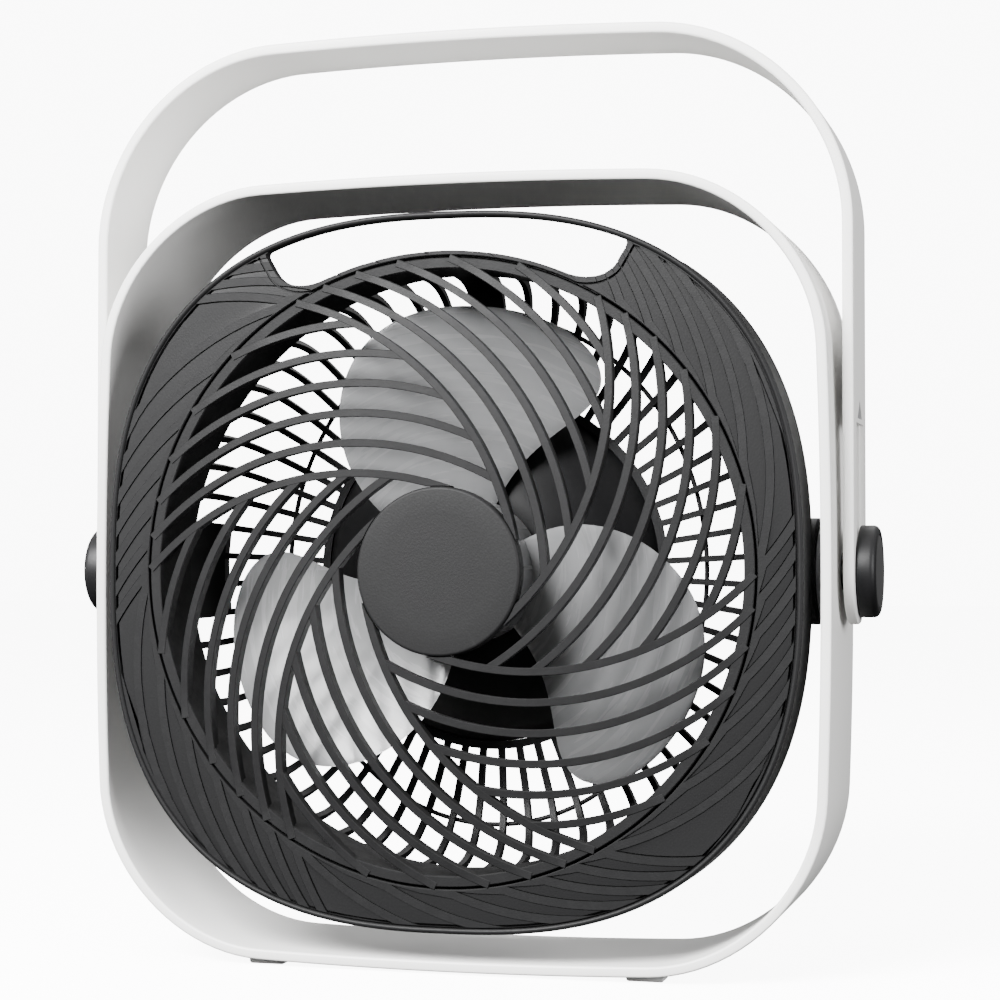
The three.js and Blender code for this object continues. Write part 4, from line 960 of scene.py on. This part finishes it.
def smooth_sections(sections):
    smooth = []
    last = len(sections) - 1
    for k in range(last):
        near = [sections[max(0, k - 1)], sections[k], sections[k + 1], sections[min(last, k + 2)]]
        for step in range(SMOOTH_STEPS):
            t = step / SMOOTH_STEPS
            weights = (-0.5 * t ** 3 + t ** 2 - 0.5 * t, 1.5 * t ** 3 - 2.5 * t ** 2 + 1,
                       -1.5 * t ** 3 + 2 * t ** 2 + 0.5 * t, 0.5 * t ** 3 - 0.5 * t ** 2)
            smooth.append(tuple(sum(w * row[i] for w, row in zip(weights, near)) for i in range(3)))
    return smooth + [sections[last]]


# %% Rear shell
DUCT_IN, DUCT_OUT, DUCT_BACK = 106.5, 109.0, -9.5
LIP_IN, LIP_OUT, COLUMN_PLACE = 110.8, 112.7, 86
OUTSIDE = smooth_sections([(HEAD_HALF, 2.55, -19.2), (HEAD_HALF, 2.55, -17), (123.9, 2.55, -11),
                           (119.1, 2.3, -5), (LIP_OUT, 2, SHELL_BACK)])
INSIDE = [(LIP_IN, 2, -1.5), (LIP_IN, 2, -4), (116.6, 2.3, -7.5), (121.4, 2.55, -12.25),
          (123.6, 2.55, -18.25), (123.6, 2.55, -19.2)]


def shell_loops(sections):
    return [head_loop(0, y, 240, half, power) for half, power, y in sections]


shell = loft("rear_shell", shell_loops(OUTSIDE + INSIDE), ring=True)
shell_room = loft("shell_room", shell_loops([(1, 2, -19.2), *OUTSIDE, (1, 2, SHELL_BACK)]))
walls = plate("walls", liner_outline(LIP_IN + 0.95), LIP_FRONT - 0.3, -0.5)
combine(walls, [shell_room], "INTERSECT")
parts = [walls, ring_solid("duct", DUCT_IN, DUCT_OUT, -36.2, DUCT_BACK, 240),
         ring_solid("web", DUCT_OUT - 1, LIP_OUT, LIP_FRONT, DUCT_BACK, 240),
         ring_solid("lip", LIP_IN, LIP_OUT, LIP_FRONT, SHELL_BACK, 240)]
boss_profile = [(0, 111.7), (18.7, 111.7), (18.7, 126.3), (18.1, 126.9), (0, 126.9)]
corners = [(x * COLUMN_PLACE, z * COLUMN_PLACE) for x, z, _ in QUARTERS]
parts += [turned_across("boss", boss_profile, side, 96) for side in (-1, 1)]
parts += [column("screw_column", x, z, 5.2, -15.2, -7.2) for x, z in corners]
join(shell, *parts)
pocket_room = pocket_outline(POCKET_GROW, LIP_OUT, -LINER - TOP_OPEN)
cuts = [plate("wedge_room", liner_outline(RIM_RADIUS + 2 - LINER, 0.3), -22.5, LIP_FRONT - 0.3),
        plate("pocket_room", pocket_room, LIP_FRONT - 0.6, SHELL_BACK + 5)]
cuts += [pin_across("bolt_bore", BOLT_RADIUS, 115.7, 131, side) for side in (-1, 1)]
cuts += [column("shank_room", x, z, 1.8, -17.2, -11.2, 24) for x, z in corners]
cuts += [column("head_room", x, z, 3.3, -12.2, -2.2) for x, z in corners]
cut(shell, *cuts)
dress(shell, "head", "dark_plastic", "rear_housing")

# %% [markdown]
# ## The bowl of ribs behind the wheel
# Sixty ribs run from the rim back and in to the motor. Cutting slots out of a turned bowl gives
# every rib the right depth at once, and leaves the rim and the collar as whole rings. One slot
# at the top stays closed, because the motor's wires run inside it.

# %% Section of the bowl
BOWL_RADIUS, BOWL_FRONT, COLLAR, COLLAR_BACK = 110.2, -9.2, 64.05, 28.6
BOWL_POWER, REAR_RIBS, REAR_RIB_WIDTH = 3.5, 60, 2.3


def bowl_section(rim, back):
    section = []
    for across, up in arc(0, 0, 1, 0, 90, 18):
        section.append((COLLAR + (rim - COLLAR) * max(0, across) ** (2 / BOWL_POWER),
                        BOWL_FRONT + (back - BOWL_FRONT) * up ** (2 / BOWL_POWER)))
    return section


def bowl_slot(degrees, outer):
    inner = COLLAR + 3
    narrow, wide = [3 - math.degrees(REAR_RIB_WIDTH / 2 / radius) for radius in (inner, outer)]
    corners = ((inner, -narrow), (outer, -wide), (outer, wide), (inner, narrow))
    outline = [polar(radius, degrees + spread) for radius, spread in corners]
    return plate("slot", outline, -5, COLLAR_BACK + 5)


def bundle(name, pieces):
    points, faces = [], []
    for piece in pieces:
        start = len(points)
        for x, y, z in (corner.co for corner in piece.data.vertices):
            points.append((x / MM, y / MM, (z - PIVOT_HEIGHT) / MM))
        faces += [tuple(start + i for i in face.vertices) for face in piece.data.polygons]
        bpy.data.objects.remove(piece)
    return new_piece(name, points, faces)


# %% Rear grille and its oval ring
BOWL_SHEET, LONG_SLOT, SHORT_SLOT, BOSS_SPAN, CLOSED_SLOT = 2.6, 116, 103.2, 9, 90
OVAL_X, OVAL_Z, OVAL_WIRE, OVAL_GAP = 81.2, 95.2, 0.9, 0.3
bowl_outside = bowl_section(BOWL_RADIUS, COLLAR_BACK)
bowl_inside = bowl_section(BOWL_RADIUS - BOWL_SHEET, COLLAR_BACK - BOWL_SHEET)
bowl = turned("rear_bowl", bowl_outside + bowl_inside[::-1], 240)
slots = []
for degrees in range(0, 360, 360 // REAR_RIBS):
    off_side = min(degrees % 180, 180 - degrees % 180)
    if degrees != CLOSED_SLOT:
        slots.append(bowl_slot(degrees, SHORT_SLOT if off_side < BOSS_SPAN else LONG_SLOT))
cut(bowl, bundle("slots", slots))
dress(bowl, "head", "black_plastic", "rear_grille", sharp=30)


def bowl_back(radius):
    out = max(0, min(1, (radius - COLLAR) / (BOWL_RADIUS - COLLAR)))
    return BOWL_FRONT + (COLLAR_BACK - BOWL_FRONT) * (1 - out ** BOWL_POWER) ** (1 / BOWL_POWER)


oval_loops = []
for out, back in ring_of(OVAL_WIRE, 12):
    loop = []
    for across, up in ring_of(1, 180):
        base = bowl_back(math.hypot(OVAL_X * across, OVAL_Z * up)) + OVAL_GAP + OVAL_WIRE
        loop.append(((OVAL_X + out) * across, base + back, (OVAL_Z + out) * up))
    oval_loops.append(loop)
dress(loft("rear_oval", oval_loops, ring=True), "head", "black_plastic", "rear_ring")

# %% [markdown]
# ## The fan wheel
# Each blade is a thin curved sheet. Its middle line leans as it goes out, one edge is lifted
# forward and the other back, and the tip closes in a round lobe. A formula of two shares, one
# along the radius and one across the blade, places every point, so the surface is smooth.

# %% Blades
BLADE_TIP, BLADE_ROOT = 95.6, 25.0
TOP_MIDDLE, SWEEP, HALF_WIDTH, TIP_SHAPE = 107.0, 22.0, 38.7, (3.9, 0.365)
ROOT_RISE, TIP_RISE, CAMBER, BLADE_PLANE, BLADE_SHEET = 6.0, 23.7, 2.4, -9.0, 1.6
EDGE_SHEET, EDGE_POWER, TIP_THINNING = 0.12, 14, 0.25
BLADE_ROWS, ROW_EASE, HALF_STEPS = 40, 2.2, 15


def blade_point(out_share, across, side, turn):
    radius = BLADE_ROOT + (BLADE_TIP - BLADE_ROOT) * out_share
    middle = TOP_MIDDLE - SWEEP * (3 * out_share ** 2 - 2 * out_share ** 3)
    tip_round = max(0, 1 - out_share ** TIP_SHAPE[0]) ** TIP_SHAPE[1]
    x, z = turned_point(*polar(radius, middle + HALF_WIDTH * tip_round * across), turn)
    rise = ROOT_RISE + (TIP_RISE - ROOT_RISE) * out_share
    forward = (rise * across + CAMBER * (1 - across ** 2)) * tip_round
    sheet = BLADE_SHEET * max(EDGE_SHEET, 1 - abs(across) ** EDGE_POWER) ** 0.5
    sheet *= 1 - TIP_THINNING * out_share
    return x, BLADE_PLANE - forward + side * sheet / 2, z


def blade(turn):
    steps = [math.sin(math.pi / 2 * (i / HALF_STEPS - 1)) for i in range(2 * HALF_STEPS + 1)]
    loops = []
    for i in range(BLADE_ROWS):
        share = 1 - (1 - i / BLADE_ROWS) ** ROW_EASE
        front = [blade_point(share, across, -1, turn) for across in steps]
        loops.append(front + [blade_point(share, across, 1, turn) for across in reversed(steps)])
    return loft("blade", loops)


# %% Wheel
wheel_profile = [(3.3, -32), (12, -32.9), (21, -33), (23.6, -32.3), (25.2, -31), (26, -29),
                 (26, -2), (24, -2), (24, -27), (8, -28), (8, -18), (3.3, -18)]
wheel = turned("wheel_hub", wheel_profile, 120)
join(wheel, *[blade(turn) for turn in (0, 120, 240)])
cut(wheel, ring_solid("core", 8.5, 23.6, -26, 3, 120))
dress(wheel, "rotor", "blade_plastic", "fan_wheel", sharp=50)

# %% [markdown]
# ## The motor's cup, the rear cover, the dial and the cord's inlet
# These are turned profiles too. Every corner that a finger can reach is a short curve, made by
# one helper that rounds the corners of a profile.

# %% Rounding a profile
SOFT_STEPS, SOFT_MOST = 4, 0.45


def soft_profile(profile, softness):
    made = []
    count = len(profile)
    for i, (here, soft) in enumerate(zip(profile, softness)):
        before, after = profile[i - 1], profile[(i + 1) % count]
        if soft == 0:
            made.append(here)
            continue
        arms = []
        for other in (before, after):
            reach = math.dist(here, other)
            share = min(SOFT_MOST, soft / reach)
            arms.append([a + (b - a) * share for a, b in zip(here, other)])
        for k in range(SOFT_STEPS + 1):
            t = k / SOFT_STEPS
            made.append(tuple((1 - t) ** 2 * a + 2 * t * (1 - t) * h + t * t * b
                              for a, h, b in zip(arms[0], here, arms[1])))
    return made


# %% Motor cup
cup_profile = [(4, 2.4), (29, 2.4), (36, 4.8), (49, 11.4), (60, 20.4), (64, 27), (61.8, 27),
               (57.8, 21.5), (46.8, 13.6), (35, 7), (28, 4.6), (9.8, 4.6), (9.8, 9.6), (7.8, 9.6),
               (7.8, 4.3), (4, 4.3)]
cup_soft = [0.3, 3, 4, 5, 4, 0.5, 0.5, 3, 4, 3, 2, 0.4, 0.3, 0.3, 0.3, 0.3]
motor_cup = turned("motor_cup", soft_profile(cup_profile, cup_soft), 180)
join(motor_cup, ring_solid("sleeve", 22.3, 24.3, 3.5, 32.7, 120))
dress(motor_cup, "head", "black_plastic", "motor_housing")

# %% Rear cover
INLET_PLACE = (0, -34)
cover_profile = [(64, 27.3), (64, 30.3), (61.8, 34.8), (55, 38.6), (47, 40.6), (3.3, 40.6),
                 (3.3, 38.4), (47, 38.4), (54, 36.4), (59.6, 33.8), (61.8, 30.3), (61.8, 27.3)]
cover_soft = [0.4, 1.5, 3, 4, 4, 0.3, 0.3, 3, 3, 2, 1, 0.3]
cover = turned("rear_cap", soft_profile(cover_profile, cover_soft), 180)
screw_spots = [polar(50, 90 + 120 * (i + 0.5)) for i in range(3)]
join(cover, *[column("post", x, z, 4.6, 27.3, 39.5) for x, z in screw_spots])
rooms = [column("inlet_room", *INLET_PLACE, 5.8, 35.4, 43.6, 64)]
rooms += [column("shank_room", x, z, 1.8, 26.3, 41.6, 24) for x, z in screw_spots]
rooms += [column("head_room", x, z, 3.3, 35.3, 41.6, 40) for x, z in screw_spots]
rooms.append(ring_solid("dial_groove", 17.6, 18.4, 40.2, 42, 120))
cut(cover, *rooms)
dress(cover, "head", "dark_plastic", "rear_cover")

# %% Speed dial
dial_profile = [(0, 34.9), (3, 34.9), (3, 40.9), (15, 40.9), (15, 43.8), (0, 43.8)]
dial = turned("dial_turner", soft_profile(dial_profile, [0, 0.2, 0.2, 0.5, 1.6, 0]), 144)
ridge_loops = []
for y, lean in ((43.2, 0), (44.7, 0.2), (45.2, 0.7)):
    x, z = -2.4 + lean, -13.4 + lean
    ridge_loops.append([(x, y, z), (-x, y, z), (-x, y, -z), (x, y, -z)])
flutes = [column("flute", *polar(15.9, 15 * i + 7.5), 1.3, 41.4, 47, 20) for i in range(24)]
join(dial, loft("ridge", ridge_loops))
cut(dial, bundle("flutes", flutes))
cut(dial, plate("pointer", [(-0.5, 8), (0.5, 8), (0.5, 12.2), (-0.5, 12.2)], 44.8, 46))
dress(dial, "dial", "black_plastic", "speed_dial")

# %% Cord inlet
inlet_profile = [(2.6, 35.9), (7.1, 35.9), (7.1, 38.1), (5.5, 38.1), (5.5, 43.8), (2.6, 43.8)]
inlet_profile = soft_profile(inlet_profile, [0.2, 0.3, 0.3, 0.2, 0.9, 0.7])
dress(turned("inlet_sleeve", inlet_profile, 72, INLET_PLACE), "head", "black_plastic", "cord_inlet")
